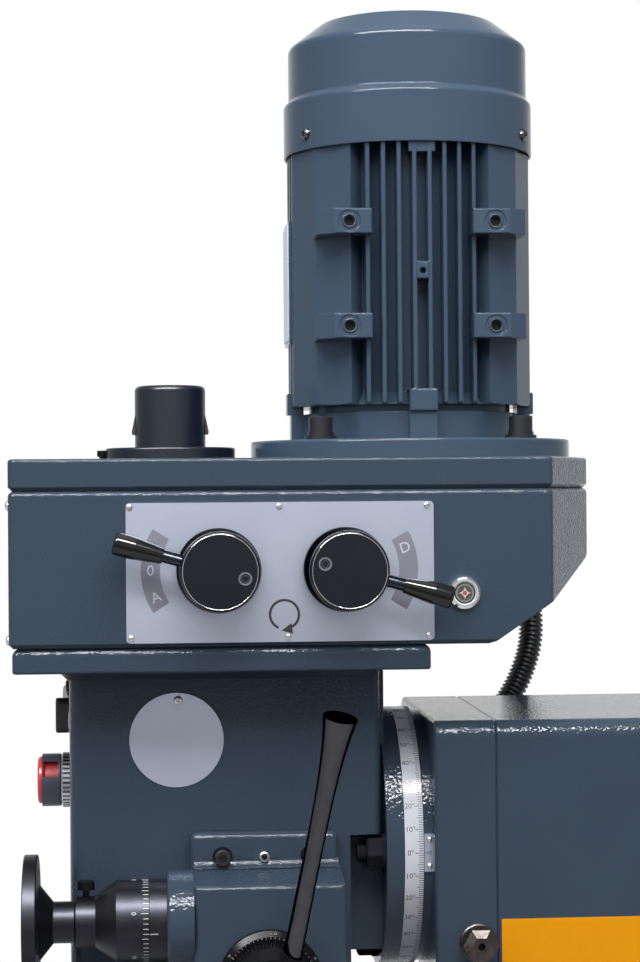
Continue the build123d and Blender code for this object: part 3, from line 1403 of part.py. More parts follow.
def lamp_lens():
    lens = rod_y(LAMP_R, (HEAD_FRONT - 9, HEAD_FRONT - 2), LAMP_X, LAMP_Z)
    return fillet(edges_on(lens, Axis.Y, False), 3.0)


def e_stop_shroud():
    bore = STOP_BUTTON_R + 2 * STOP_GUIDE
    front, foot = HEAD_FRONT - STOP_GUARD_L, HEAD_FRONT - STOP_BEZEL_T
    guard = rod_y(bore + STOP_GUARD_T, (front, foot), 0, STOP_Z)
    guard -= rod_y(bore, (front - 1, foot - STOP_GUARD_FOOT), 0, STOP_Z)
    guard -= rod_y(STOP_BARREL_R + STOP_GUIDE, (front, foot + 1), 0, STOP_Z)
    across = 2 * STOP_BEZEL_R
    window = tuple(STOP_Z + height for height in STOP_WINDOW)
    return guard - block((-across, across), (front - 1, foot - STOP_GUARD_FOOT), window)


def e_stop_button():
    front = HEAD_FRONT - STOP_REACH
    back = front + STOP_HEAD_T
    points = [
        (0, HEAD_FRONT),
        (STOP_STEM_R, HEAD_FRONT),
        (STOP_STEM_R, HEAD_FRONT - 6),
        (STOP_BARREL_R, HEAD_FRONT - 6),
        (STOP_BARREL_R, back),
        (STOP_BUTTON_R, back - 2),
        (STOP_BUTTON_R, front),
        (0, front),
    ]
    return turned_y(points, 0, STOP_Z, [0, 0, 0, 0, 0, 0.8, 2.4, 0])


def switch_knob():
    depth = (HEAD_FRONT - KNOB_REACH, HEAD_FRONT - KNOB_BEZEL_T - GAP)
    knob = block((-7, 7), depth, (KNOB_Z - KNOB_GRIP_HALF, KNOB_Z + KNOB_GRIP_HALF))
    knob = fillet(knob.edges().filter_by(Axis.Y), 5.0)
    knob = fillet(edges_on(knob, Axis.Y, False), 1.5)
    return knob + rod_y(KNOB_STEM_R, (HEAD_FRONT - KNOB_BEZEL_T - 1, HEAD_FRONT), 0, KNOB_Z)


PIECES = {
    "ram_casting": ram_casting,
    "ram_front_plate": ram_front_plate,
    "ram_side_bolts": ram_side_bolts,
    "zero_plate": zero_plate,
    "conduit_elbow": conduit_elbow,
    "head_casting": head_casting,
    "swivel_scale": swivel_scale,
    "swivel_studs": swivel_studs,
    "gearbox_body": gearbox_body,
    "gearbox_lid": gearbox_lid,
    "gearbox_base_plate": gearbox_base_plate,
    "speed_panel": speed_panel,
    "sight_ring": sight_ring,
    "sight_lens": sight_lens,
    "blank_plates": blank_plates,
    "motor_shield": motor_shield,
    "motor_frame": motor_frame,
    "motor_rear_shield": motor_rear_shield,
    "fan_cowl": fan_cowl,
    "motor_bolts": motor_bolts,
    "motor_stator": motor_stator,
    "terminal_box": terminal_box,
    "terminal_lid": terminal_lid,
    "conduit_gland": conduit_gland,
    "conduit": conduit,
    "drive_bearings": drive_bearings,
    "feed_box": feed_box,
    "feed_box_screws": feed_box_screws,
    "feed_index_ring": feed_index_ring,
    "spring_cap": spring_cap,
    "switch_bezels": switch_bezels,
    "lamp_lens": lamp_lens,
    "e_stop_shroud": e_stop_shroud,
    "cap_base": cap_base,
    "quill": quill,
    "spindle_bearings": spindle_bearings,
    "spindle": spindle,
    "drawbar": drawbar,
    "pinion_shaft": pinion_shaft,
    "lever_hub": lever_hub,
    "depth_dial": depth_dial,
    "feed_levers": feed_levers,
    "worm_shaft": worm_shaft,
    "feed_handwheel": feed_handwheel,
    "feed_dial": feed_dial,
    "dial_screw": dial_screw,
    "worm_wheel": worm_wheel,
    "speed_hub_left": lambda: speed_hub(0),
    "speed_grip_left": lambda: speed_grip(0),
    "speed_hub_right": lambda: speed_hub(1),
    "speed_grip_right": lambda: speed_grip(1),
    "motor_rotor": motor_rotor,
    "cooling_fan": cooling_fan,
    "layshaft_1": layshaft_1,
    "layshaft_2": layshaft_2,
    "sleeve_gear": sleeve_gear,
    "drawbar_cap": drawbar_cap,
    "e_stop_button": e_stop_button,
    "switch_knob": switch_knob,
}

os.makedirs("parts", exist_ok=True)
for name, make in PIECES.items():
    export_step(make(), f"parts/{name}.step")
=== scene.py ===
# %% [markdown]
# The head of a mill drill: a gear box with its motor, a head casting that tilts on the end of a ram, and
# the quill and its feed inside. The solids come from the construction model. This lesson gives them their
# finishes and adds what is too small or too soft to be cut in metal: print, small screws, scale marks and
# a ribbed hose.

import json
import math

import bmesh
import bpy
from mathutils import Matrix, Vector


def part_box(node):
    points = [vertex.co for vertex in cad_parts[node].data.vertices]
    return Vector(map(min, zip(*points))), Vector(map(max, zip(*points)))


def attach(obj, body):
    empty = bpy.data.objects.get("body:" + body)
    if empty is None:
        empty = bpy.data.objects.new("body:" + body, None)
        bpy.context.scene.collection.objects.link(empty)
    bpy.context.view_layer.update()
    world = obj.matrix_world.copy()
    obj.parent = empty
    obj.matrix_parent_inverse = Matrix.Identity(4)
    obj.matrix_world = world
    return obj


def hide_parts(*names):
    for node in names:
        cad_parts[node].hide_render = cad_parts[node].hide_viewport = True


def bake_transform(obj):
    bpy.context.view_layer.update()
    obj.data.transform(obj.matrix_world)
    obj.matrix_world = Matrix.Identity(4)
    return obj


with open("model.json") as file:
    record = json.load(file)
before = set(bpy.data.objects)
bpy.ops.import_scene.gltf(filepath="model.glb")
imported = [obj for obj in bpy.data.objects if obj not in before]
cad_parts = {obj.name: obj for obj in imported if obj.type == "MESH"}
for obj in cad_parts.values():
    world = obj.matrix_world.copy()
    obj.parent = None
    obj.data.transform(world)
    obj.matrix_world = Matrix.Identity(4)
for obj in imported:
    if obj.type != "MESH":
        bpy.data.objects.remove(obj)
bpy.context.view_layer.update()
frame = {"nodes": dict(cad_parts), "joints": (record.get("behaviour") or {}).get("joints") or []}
scene = bpy.context.scene
scene.view_settings.view_transform = "Standard"

# %% [markdown]
# The camera stands on the operator's right, level with the gear box, and looks along -X. Its place was
# solved from forty known corners of the machine. A long lens keeps the upright edges nearly parallel. The
# three columns of the matrix are the camera's right, up and backward directions, which is all that a
# camera's turn is.

# %% Camera
CAMERA_PLACE = Vector((1.7892, -0.0205, 0.5112))
CAMERA_YAW, CAMERA_PITCH, CAMERA_ROLL = (math.radians(angle) for angle in (4.403, 0.315, -0.44))
FOCAL_PIXELS, LONG_SIDE = 2281.8, 962

ahead = Vector(
    (
        -math.cos(CAMERA_YAW) * math.cos(CAMERA_PITCH),
        math.sin(CAMERA_YAW) * math.cos(CAMERA_PITCH),
        math.sin(CAMERA_PITCH),
    )
)
level = ahead.cross(Vector((0, 0, 1))).normalized()
upright = level.cross(ahead)
right = math.cos(CAMERA_ROLL) * level + math.sin(CAMERA_ROLL) * upright
up = math.cos(CAMERA_ROLL) * upright - math.sin(CAMERA_ROLL) * level
camera = bpy.data.objects.new("camera", bpy.data.cameras.new("camera"))
camera.data.lens = FOCAL_PIXELS * camera.data.sensor_width / LONG_SIDE
camera.matrix_world = Matrix.Translation(CAMERA_PLACE) @ Matrix((right, up, -ahead)).transposed().to_4x4()
scene.collection.objects.link(camera)
scene.camera = camera
print("lens", round(camera.data.lens, 2), "mm")

# %% [markdown]
# Every finish and every node tree below is put together with one small function, which adds a node, sets
# its properties, fills its sockets and links other nodes' outputs to it. Colours are written as screen
# colours, the way a paint chart gives them, and a second function turns them to the linear values that
# light is added up in. Patterns are given by their real size: a texture's scale counts how often it
# repeats in a metre. Sizes on the machine are written in millimetres, and MM turns them to metres. The
# camera, the lights and the floor are placed in metres.

# %% Helpers for colours, sizes and nodes
MM = 0.001


def linear(code):
    """A screen colour such as #a0b0c0 as a linear one."""
    parts = [int(code[i : i + 2], 16) / 255 for i in (1, 3, 5)]
    return tuple(c / 12.92 if c <= 0.04045 else ((c + 0.055) / 1.055) ** 2.4 for c in parts) + (1.0,)


def per(size_mm):
    """Scale of a noise whose blots are about this wide."""
    return 1000 / size_mm


def rings(pitch_mm):
    """Scale of a wave whose crests are this far apart. At scale 1 they are pi / 10 metres apart."""
    return 1000 * math.pi / (10 * pitch_mm)


def add(tree, kind, links=None, values=None, **settings):
    """Adds one node with its settings, its sockets' values and the outputs that feed it."""
    node = tree.nodes.new(kind)
    for name, value in settings.items():
        setattr(node, name, value)
    for socket, value in (values or {}).items():
        node.inputs[socket].default_value = value
    for socket, output in (links or {}).items():
        tree.links.new(output, node.inputs[socket])
    return node


def finish(name, **constants):
    """A new material: its tree, its shader and the coordinates that its patterns are laid on."""
    material = bpy.data.materials.new(name)
    material.use_nodes = True
    tree = material.node_tree
    shader = tree.nodes["Principled BSDF"]
    for socket, value in constants.items():
        shader.inputs[socket.replace("_", " ")].default_value = value
    return material, tree, shader, add(tree, "ShaderNodeTexCoord").outputs["Object"]


def mottle(tree, shader, place, deep, pale, blot_mm, detail):
    """Lets the base colour wander between two tones, in blots of this size."""
    blots = add(tree, "ShaderNodeTexNoise", {"Vector": place}, {"Scale": per(blot_mm), "Detail": detail})
    tones = {6: linear(deep), 7: linear(pale)}
    tone = add(tree, "ShaderNodeMix", {0: blots.outputs["Fac"]}, tones, data_type="RGBA")
    tree.links.new(tone.outputs[2], shader.inputs["Base Color"])
    return tone


print("one metre holds", per(1), "blots of a millimetre")

# %% [markdown]
# The pieces that are added later have to sit on the solids, so their places are read from the packed
# model: the box round a solid, or a point on a joint's axis. Both are turned to millimetres, a maker's
# own unit.

# %% Places read from the model
def box_mm(node):
    """The lowest and highest corners of a solid, in millimetres."""
    return tuple(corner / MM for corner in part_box(node))


def axis_mm(name):
    """A point on the axis of a joint, in millimetres."""
    return Vector(next(joint["pos_m"] for joint in frame["joints"] if joint["name"] == name)) / MM


TILT, MOTOR, FINE_FEED, HUB = (
    axis_mm(name) for name in ("head_tilt", "motor_spin", "fine_feed_turn", "feed_turn")
)
KNOB_LEFT, KNOB_RIGHT = axis_mm("speed_left_turn"), axis_mm("speed_right_turn")
# A knob's body, a point on its axis, and the way along Y in which its screw lies.
KNOBS = (("speed_left", KNOB_LEFT, 1), ("speed_right", KNOB_RIGHT, -1))
SIGHT = sum(box_mm("sight_lens"), Vector()) / 2
print("knobs at", [round(v, 1) for v in (*KNOB_LEFT.yz, *KNOB_RIGHT.yz)])

# %% [markdown]
# The hose carries the motor's leads from the terminal box down to the ram. It is corrugated PVC conduit,
# dull black and a little dusty. Its skin could be one flat black, but then the ribs would run together,
# so the tone wanders and a fine grain breaks the highlight on every crest.

# %% Hose finish
PVC_GRAIN, PVC_GRAIN_DEPTH = 0.9, 0.05

hose_pvc, tree, shader, place = finish("black_pvc_conduit", Roughness=0.28, Specular_IOR_Level=0.5)
mottle(tree, shader, place, "#101113", "#222326", blot_mm=14, detail=4.0)
grain = add(tree, "ShaderNodeTexNoise", {"Vector": place}, {"Scale": per(PVC_GRAIN), "Detail": 2.0})
height = {"Strength": 0.5, "Distance": PVC_GRAIN_DEPTH * MM}
bump = add(tree, "ShaderNodeBump", {"Height": grain.outputs["Fac"]}, height)
tree.links.new(bump.outputs["Normal"], shader.inputs["Normal"])
print(hose_pvc.name)

# %% [markdown]
# The conduit is stiff enough to hang in one long bow. Its route is a smooth spline with few control
# points, and they are the points of the construction model. Blender is asked for the points along that
# spline, which the ribs follow and which give the hose its length.

# %% Hose route
HOSE_POINTS = (
    (-135, 205, 640),
    (-135, 205, 596),
    (-160, 222, 550),
    (-174, 254, 512),
    (-178, 289, 472),
    (-174, 311, 428),
    (-168, 314, 386),
    (-163, 302, 350),
    (-158, 283, 322),
    (-156, 261, 300),
)
HOSE_RIBS, HOSE_R, HOSE_ROOT_R = 100, 10.4 * MM, 8.8 * MM

line = bpy.data.curves.new("hose_line", "CURVE")
line.dimensions = "3D"
line.resolution_u = 24
spline = line.splines.new("NURBS")
spline.points.add(len(HOSE_POINTS) - 1)
for point, (x, y, z) in zip(spline.points, HOSE_POINTS):
    point.co = (x * MM, y * MM, z * MM, 1)
spline.order_u = 3
spline.use_endpoint_u = True
line_holder = bpy.data.objects.new("hose_line", line)
scene.collection.objects.link(line_holder)
bpy.context.view_layer.update()
route = bpy.data.meshes.new_from_object(line_holder.evaluated_get(bpy.context.evaluated_depsgraph_get()))
bpy.data.objects.remove(line_holder)

# %% [markdown]
# A node tree's sizes are its named inputs. They are set on the modifier by each socket's identifier, and
# the result is then turned into a plain mesh, so that nothing is left to evaluate when the machine is
# posed.

# %% Helpers for node trees
def sized_tree(name, sizes):
    """An empty geometry tree with a geometry in and out and these named inputs."""
    tree = bpy.data.node_groups.new(name, "GeometryNodeTree")
    tree.interface.new_socket("Geometry", in_out="INPUT", socket_type="NodeSocketGeometry")
    for label, kind in sizes.items():
        tree.interface.new_socket(label, in_out="INPUT", socket_type="NodeSocket" + kind)
    tree.interface.new_socket("Geometry", in_out="OUTPUT", socket_type="NodeSocketGeometry")
    return tree, add(tree, "NodeGroupInput").outputs


def grown(name, mesh, tree, **sizes):
    """Runs the tree on the mesh with these sizes and returns what it makes as a plain mesh."""
    holder = bpy.data.objects.new(name, mesh)
    scene.collection.objects.link(holder)
    modifier = holder.modifiers.new("grow", "NODES")
    modifier.node_group = tree
    sockets = {item.name: item.identifier for item in tree.interface.items_tree if item.in_out == "INPUT"}
    for label, value in sizes.items():
        modifier[sockets[label]] = value
    bpy.context.view_layer.update()
    made = bpy.data.meshes.new_from_object(holder.evaluated_get(bpy.context.evaluated_depsgraph_get()))
    made.name = name
    bpy.data.objects.remove(holder)
    return made


def piece(name, mesh, body, material=None):
    """Shows a mesh as a piece that rides on a body and takes its finish from a slot."""
    made = bpy.data.objects.new(name, mesh)
    scene.collection.objects.link(made)
    if material:
        mesh.materials.clear()
        mesh.materials.append(material)
    if body:
        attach(made, body)
    print(name, len(mesh.polygons), "faces")
    return made


# %% [markdown]
# The ribs could be modelled one by one, but they all follow from one rule. The tree resamples the route,
# makes the radius rise and fall once a rib with flat crests and narrow grooves, and sweeps a circle along
# it.

# %% Ribbed hose
# The hose is a crest where the wave is below the first value, and a groove where it is above the second.
CREST_BELOW, ROOT_ABOVE = -0.35, 0.75
STEPS_PER_RIB, HOSE_SIDES = 8.0, 24

hose_sizes = {"Ribs": "Int", "Crest": "Float", "Root": "Float", "Finish": "Material"}
tree, given = sized_tree("ribbed_hose", hose_sizes)
samples = add(tree, "ShaderNodeMath", {0: given["Ribs"]}, {1: STEPS_PER_RIB}, operation="MULTIPLY")
path = add(tree, "GeometryNodeMeshToCurve", {"Mesh": given["Geometry"]})
even = add(tree, "GeometryNodeResampleCurve", {"Curve": path.outputs[0], "Count": samples.outputs[0]})
along = add(tree, "GeometryNodeSplineParameter")
turns = add(tree, "ShaderNodeMath", {0: along.outputs["Factor"], 1: given["Ribs"]}, operation="MULTIPLY")
swing = add(tree, "ShaderNodeMath", {0: turns.outputs[0]}, {1: math.tau}, operation="MULTIPLY")
wave = add(tree, "ShaderNodeMath", {0: swing.outputs[0]}, operation="COSINE")
width = add(
    tree,
    "ShaderNodeMapRange",
    {0: wave.outputs[0], 3: given["Crest"], 4: given["Root"]},
    {1: CREST_BELOW, 2: ROOT_ABOVE},
    interpolation_type="SMOOTHSTEP",
)
ring = add(tree, "GeometryNodeCurvePrimitiveCircle", values={"Resolution": HOSE_SIDES, "Radius": 1.0})
tube = add(
    tree,
    "GeometryNodeCurveToMesh",
    {"Curve": even.outputs[0], "Profile Curve": ring.outputs[0], "Scale": width.outputs[0]},
    {"Fill Caps": True},
)
smooth = add(tree, "GeometryNodeSetShadeSmooth", {"Geometry": tube.outputs[0]})
whole = add(tree, "GeometryNodeRealizeInstances", {"Geometry": smooth.outputs[0]})
painted = add(tree, "GeometryNodeSetMaterial", {"Geometry": whole.outputs[0], "Material": given["Finish"]})
add(tree, "NodeGroupOutput", {0: painted.outputs[0]})
hose = piece(
    "ribbed_hose",
    grown("ribbed_hose", route, tree, Ribs=HOSE_RIBS, Crest=HOSE_R, Root=HOSE_ROOT_R, Finish=hose_pvc),
    None,
)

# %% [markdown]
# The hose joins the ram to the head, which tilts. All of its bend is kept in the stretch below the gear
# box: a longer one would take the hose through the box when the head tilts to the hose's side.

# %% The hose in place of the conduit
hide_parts("conduit")
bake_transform(hose)
print("hose", round(2 * HOSE_R / MM, 1), "mm across")

# %% [markdown]
# Castings are filled, rubbed down and sprayed with two-pack enamel. The surface is never quite flat, so
# the gloss breaks up in two ways: orange peel, small dimples a few millimetres across, which makes
# rounded edges glitter, and the long waves of the filler below, which bend wide reflections. The peel
# lies in the clear coat only, because that is where the gloss comes from, and the coat's index is low, so
# that the colour below shows as it is written. Dimples, waves and the rounding of sharp edges only turn
# the surface's normals: cutting them would cost millions of faces.

# %% Enamel on the castings
COAT_IOR = 1.25


def enamel(name, deep, pale, peel_mm, peel_depth_mm, wave_mm, wave_depth_mm, edge_mm, roughness):
    """Paint that rounds edges and waves with its filler, under a clear coat with orange peel."""
    coat = {"Coat_Weight": 1.0, "Coat_Roughness": roughness, "Coat_IOR": COAT_IOR}
    material, tree, shader, place = finish(name, Specular_IOR_Level=0.0, **coat)
    tone = mottle(tree, shader, place, deep, pale, blot_mm=70, detail=3.0)
    waves = add(tree, "ShaderNodeTexNoise", {"Vector": place}, {"Scale": per(wave_mm), "Detail": 1.0})
    edges = add(tree, "ShaderNodeBevel", values={"Radius": edge_mm * MM}, samples=4)
    broad = add(
        tree,
        "ShaderNodeBump",
        {"Height": waves.outputs["Fac"], "Normal": edges.outputs["Normal"]},
        {"Strength": 1.0, "Distance": wave_depth_mm * MM},
    )
    peel = add(tree, "ShaderNodeTexNoise", {"Vector": place}, {"Scale": per(peel_mm), "Detail": 0.0})
    fine = add(
        tree,
        "ShaderNodeBump",
        {"Height": peel.outputs["Fac"], "Normal": broad.outputs["Normal"]},
        {"Strength": 1.0, "Distance": peel_depth_mm * MM},
    )
    tree.links.new(broad.outputs["Normal"], shader.inputs["Normal"])
    tree.links.new(fine.outputs["Normal"], shader.inputs["Coat Normal"])
    return material, tree, shader, place, tone


SLATE = ("#394655", "#3e4c5b")
MOTOR_SLATE = ("#3f4f61", "#455669")
# Iron castings glitter: the peel is deep and the coat is glossy.
ON_IRON = {
    "peel_mm": 1.9,
    "peel_depth_mm": 0.46,
    "wave_mm": 32,
    "wave_depth_mm": 0.30,
    "edge_mm": 1.3,
    "roughness": 0.08,
}
# Die-cast aluminium is smoother, and its paint is thinner and more satin.
ON_ALUMINIUM = {
    "peel_mm": 1.7,
    "peel_depth_mm": 0.10,
    "wave_mm": 40,
    "wave_depth_mm": 0.12,
    "edge_mm": 1.4,
    "roughness": 0.14,
}
cast_enamel = enamel("slate_enamel_on_iron", *SLATE, **ON_IRON)[0]
motor_enamel = enamel("slate_enamel_on_aluminium", *MOTOR_SLATE, **ON_ALUMINIUM)[0]
print(cast_enamel.name, motor_enamel.name)

# %% [markdown]
# The ram is sprayed in the same slate, and the lower part of its sides in signal yellow up to a masked
# line. The mask is worked out from the height, from the distance behind the front plate and from which
# way the face looks, so it needs no second piece.

# %% Enamel on the ram
YELLOW, YELLOW_TOP, YELLOW_GAP, SIDEWAYS = "#f09d00", 195, 3, 0.9
yellow_front = box_mm("ram_front_plate")[1].y + YELLOW_GAP

ram_enamel, tree, shader, place, tone = enamel("slate_and_yellow_enamel_on_iron", *SLATE, **ON_IRON)
spot = add(tree, "ShaderNodeSeparateXYZ", {0: place})
surface = add(tree, "ShaderNodeNewGeometry")
facing = add(tree, "ShaderNodeSeparateXYZ", {0: surface.outputs["True Normal"]})
turned_out = add(tree, "ShaderNodeMath", {0: facing.outputs["X"]}, operation="ABSOLUTE")
is_side, is_low, is_behind = (
    add(tree, "ShaderNodeMath", {0: value}, {1: limit}, operation=test)
    for value, limit, test in (
        (turned_out.outputs[0], SIDEWAYS, "GREATER_THAN"),
        (spot.outputs["Z"], YELLOW_TOP * MM, "LESS_THAN"),
        (spot.outputs["Y"], yellow_front * MM, "GREATER_THAN"),
    )
)
band = add(tree, "ShaderNodeMath", {0: is_side.outputs[0], 1: is_low.outputs[0]}, operation="MULTIPLY")
masked = add(tree, "ShaderNodeMath", {0: band.outputs[0], 1: is_behind.outputs[0]}, operation="MULTIPLY")
two_tone = add(
    tree, "ShaderNodeMix", {0: masked.outputs[0], 6: tone.outputs[2]}, {7: linear(YELLOW)}, data_type="RGBA"
)
tree.links.new(two_tone.outputs[2], shader.inputs["Base Color"])
print(ram_enamel.name, "yellow below", YELLOW_TOP, "mm")

# %% [markdown]
# Steel shows its making. A turned face carries fine rings, a ground one short scratches, and blackened
# parts keep both under a thin dark oxide. One function lays the rings about an axis, since the lathe only
# knows that axis. Real rings are too fine to show here, so they are drawn coarser.

# %% Finish of turned steel
def turned(name, deep, pale, axis, centre_mm, pitch_mm, groove_mm, roughness, metallic, **constants):
    """A finish with lathe rings about an axis through a point."""
    material, tree, shader, place = finish(name, Roughness=roughness, Metallic=metallic, **constants)
    mottle(tree, shader, place, deep, pale, blot_mm=9, detail=4.0)
    to_axis = tuple(-value * MM for value in centre_mm)
    centred = add(tree, "ShaderNodeMapping", {"Vector": place}, {"Location": to_axis}, vector_type="POINT")
    grooves = add(
        tree,
        "ShaderNodeTexWave",
        {"Vector": centred.outputs[0]},
        {"Scale": rings(pitch_mm), "Distortion": 0.6, "Detail": 2.0},
        wave_type="RINGS",
        rings_direction=axis,
    )
    cut = add(
        tree,
        "ShaderNodeBump",
        {"Height": grooves.outputs["Fac"]},
        {"Strength": 0.6, "Distance": groove_mm * MM},
    )
    tree.links.new(cut.outputs["Normal"], shader.inputs["Normal"])
    return material


ORIGIN = (0, 0, 0)
bright_steel = turned("ground_steel", "#a7a9ab", "#b9bbbd", "Z", ORIGIN, 1.0, 0.003, 0.22, 1.0)
print(bright_steel.name)

# %% [markdown]
# The black parts differ in how they answer the light. Black chrome on the knobs and levers mirrors the
# studio darkly and stays dark at a glancing angle, where a bare metal would turn white, so its specular
# tint is black. The dial is satin with a broad soft streak, and the hub and the cap are black to the eye
# with only a weak sheen. All of them could share one black, but then the parts would run together.

# %% Blackened turned steel
DARK_EDGES = {"Specular_Tint": (0.0, 0.0, 0.0, 1.0)}

knob_left_black, knob_right_black = (
    turned(name, "#2b2e34", "#30343b", "X", knob, 1.1, 0.004, 0.24, 1.0, **DARK_EDGES)
    for name, knob in (("turned_black_knob_left", KNOB_LEFT), ("turned_black_knob_right", KNOB_RIGHT))
)
lever_steel = turned(
    "black_chromed_lever_steel", "#38383b", "#464649", "Z", ORIGIN, 3.0, 0.002, 0.11, 1.0, **DARK_EDGES
)
dial_black = turned("blackened_turned_steel", "#222227", "#2e2e34", "Y", FINE_FEED, 0.8, 0.006, 0.38, 0.9)
hub_black = turned(
    "blackened_hub_steel", "#0c0c0e", "#131316", "X", HUB, 0.9, 0.005, 0.24, 0.0, Specular_IOR_Level=0.08
)
cap_black = turned(
    "black_satin_cap", "#111723", "#17202e", "Z", ORIGIN, 1.4, 0.003, 0.32, 0.0, Specular_IOR_Level=0.35
)
print(knob_left_black.name, knob_right_black.name, lever_steel.name, dial_black.name)

# %% [markdown]
# The rest of the finishes are simpler: each is a base colour that wanders between two tones, with a grain
# in the bump. A brushed plate's grain is stretched along one direction, a moulded part's is round, and a
# plated one's hardly shows. They share a function, and their names say what each is made of. Most real
# grains are finer than a pixel, so they are drawn about a millimetre wide.

# %% Finish of plain surfaces
def grained(name, deep, pale, grain_mm, depth_mm, stretch=(1, 1, 1), blot_mm=12, **constants):
    """Two tones in blots and a bump of grains, both laid in real sizes."""
    material, tree, shader, place = finish(name, **constants)
    mottle(tree, shader, place, deep, pale, blot_mm, detail=3.0)
    drawn = add(tree, "ShaderNodeMapping", {"Vector": place}, {"Scale": stretch})
    fineness = {"Scale": per(grain_mm), "Detail": 2.0}
    grain = add(tree, "ShaderNodeTexNoise", {"Vector": drawn.outputs[0]}, fineness)
    height = {"Strength": 0.7, "Distance": depth_mm * MM}
    bump = add(tree, "ShaderNodeBump", {"Height": grain.outputs["Fac"]}, height)
    tree.links.new(bump.outputs["Normal"], shader.inputs["Normal"])
    return material


# Plates: the panel is brushed along its length, and the scale round its band, which is nearly white.
panel_foil = grained(
    "anodised_panel_plate",
    "#a5abbb",
    "#afb5c4",
    0.8,
    0.006,
    stretch=(1, 0.1, 1),
    blot_mm=40,
    Roughness=0.36,
    Metallic=1.0,
)
scale_aluminium = grained(
    "satin_aluminium_scale",
    "#d6d9e2",
    "#e0e2ea",
    0.7,
    0.006,
    stretch=(1, 6, 1),
    blot_mm=8,
    Roughness=0.15,
    Specular_IOR_Level=0.12,
)
# Ink and the paint in engraved marks: dull, with no grain to speak of.
print_grey = grained("panel_print_grey", "#7c7e8c", "#838593", 1.2, 0.004, Roughness=0.42)
print_pale = grained("panel_print_pale", "#c6c9d6", "#ced1dc", 1.2, 0.004, Roughness=0.42)
print_black = grained("black_ink", "#1a1a1d", "#222226", 1.2, 0.004, Roughness=0.45)
print_white = grained("white_filled_engraving", "#d8d6d2", "#e4e2de", 0.8, 0.006, Roughness=0.5)
print("plates and print made")

# %% [markdown]
# Small screws and bolts are bought in, and each kind has its own skin. Chrome and zinc are bright and
# clear, black oxide swallows the light, phosphate is a dull grey black, and the large side bolts have
# browned with age in coarse blots. They need no more than the same function with other tones.

# %% Plated and blackened steel
# Plating mirrors the studio: chrome clearly and zinc softly. The lighter grey screw steel is a painted
# highlight for the lit edge of a counterbore.
chrome = grained("bright_chrome_plate", "#c8cacc", "#d4d6d8", 1.5, 0.003, Roughness=0.10, Metallic=1.0)
zinc = grained("zinc_plated_screw", "#b4b5ba", "#c6c7cb", 0.8, 0.010, Roughness=0.28, Metallic=1.0)
highlight_grey_steel = grained("grey_screw_steel_painted_highlight", "#7a7b81", "#8e8f95", 0.8, 0.012, Roughness=0.32, Metallic=0.5)
# Blued steel is a dark mirror. Oxide and phosphate hardly mirror at all.
screw_blued = grained("blued_screw_steel", "#4c4d53", "#5f6066", 0.8, 0.012, Roughness=0.22, Metallic=1.0)
# Black oxide is the real finish of some screws. The same dark finish also serves as painted shade in holes
# and round screws.
oxide = grained(
    "black_oxide_and_painted_shade", "#0b0b0d", "#141417", 0.9, 0.015, Roughness=0.34, Specular_IOR_Level=0.12
)
socket_black = grained("blackened_socket_steel", "#1c1d21", "#26272c", 0.8, 0.012, Roughness=0.30)
stud_black = grained(
    "black_nut_steel", "#232328", "#2f2f35", 1.1, 0.020, Roughness=0.42, Specular_IOR_Level=0.0
)
bolt_grey = grained(
    "phosphated_bolt_steel", "#1a1c21", "#25272c", 1.2, 0.020, Roughness=0.36, Specular_IOR_Level=0.3
)
# Browned steel is blotchy, in its tone and in its surface.
bolt_gunmetal = grained(
    "browned_bolt_steel", "#1f1b1a", "#5a5452", 3.0, 0.16, blot_mm=4, Roughness=0.36, Metallic=1.0
)
print("screw finishes made")

# %% [markdown]
# Mouldings come out of a polished or an etched mould: phenolic knobs are hard and glossy, nylon is dull
# with a fine skin. The gears and the rotor inside are machined iron, and the worm wheel is bronze, which
# runs quietly against a steel worm.

# %% Mouldings and inner metal
# Polished black has a small sharp highlight.
edge_black = grained("polished_black_edge", "#0a0b0d", "#101114", 1.5, 0.003, Roughness=0.09)
phenolic = grained(
    "polished_black_phenolic", "#101011", "#181819", 1.5, 0.004, Roughness=0.12, Specular_IOR_Level=0.3
)
# An etched mould leaves a wider and softer highlight.
moulded_black = grained("moulded_black_nylon", "#191a1c", "#232426", 0.7, 0.020, Roughness=0.42)
shroud_grey = grained("moulded_grey_shroud", "#4a4a5a", "#545465", 0.8, 0.012, Roughness=0.36)
stop_red = grained("moulded_red_nylon", "#ea4248", "#f4505a", 0.9, 0.010, Roughness=0.28)
# A frosted lens is milky under a clear skin.
lamp_glass = grained(
    "frosted_white_lens", "#c9cdd2", "#d8dbdf", 1.0, 0.010, Roughness=0.15, Coat_Weight=0.5
)
# Milled iron is dull, and turned bronze is warm and bright.
inner_iron = grained("machined_grey_iron", "#4c4e50", "#5e6062", 0.9, 0.020, Roughness=0.45, Metallic=0.7)
bronze = grained("turned_bronze", "#8a6238", "#9c7144", 0.8, 0.010, Roughness=0.30, Metallic=1.0)
print("mouldings and inner metal made")

# %% [markdown]
# The oil sight is a clear window with a bright four-pointed reflector behind it, a red float dot, and
# grey, black and bright rings round it. The window is only 17 mm wide, so all of that is drawn in the
# glass's own finish. The star is where the two distances from the middle, each raised to a power below
# one, add up to less than a limit, and the rings are steps of a colour ramp over the radius. A clear coat
# gives the gloss of glass.

# %% Oil sight glass
STAR_REACH, STAR_POWER, DOT_R = 4.8, 0.6, 1.7
STAR_TONE, DOT_TONE = linear("#d4d2c6"), linear("#c8323c")
SIGHT_BANDS, BANDS_REACH = ((0, "#3a3a33"), (5.5, "#84847a"), (6.6, "#131311"), (7.8, "#d2d2d4")), 10

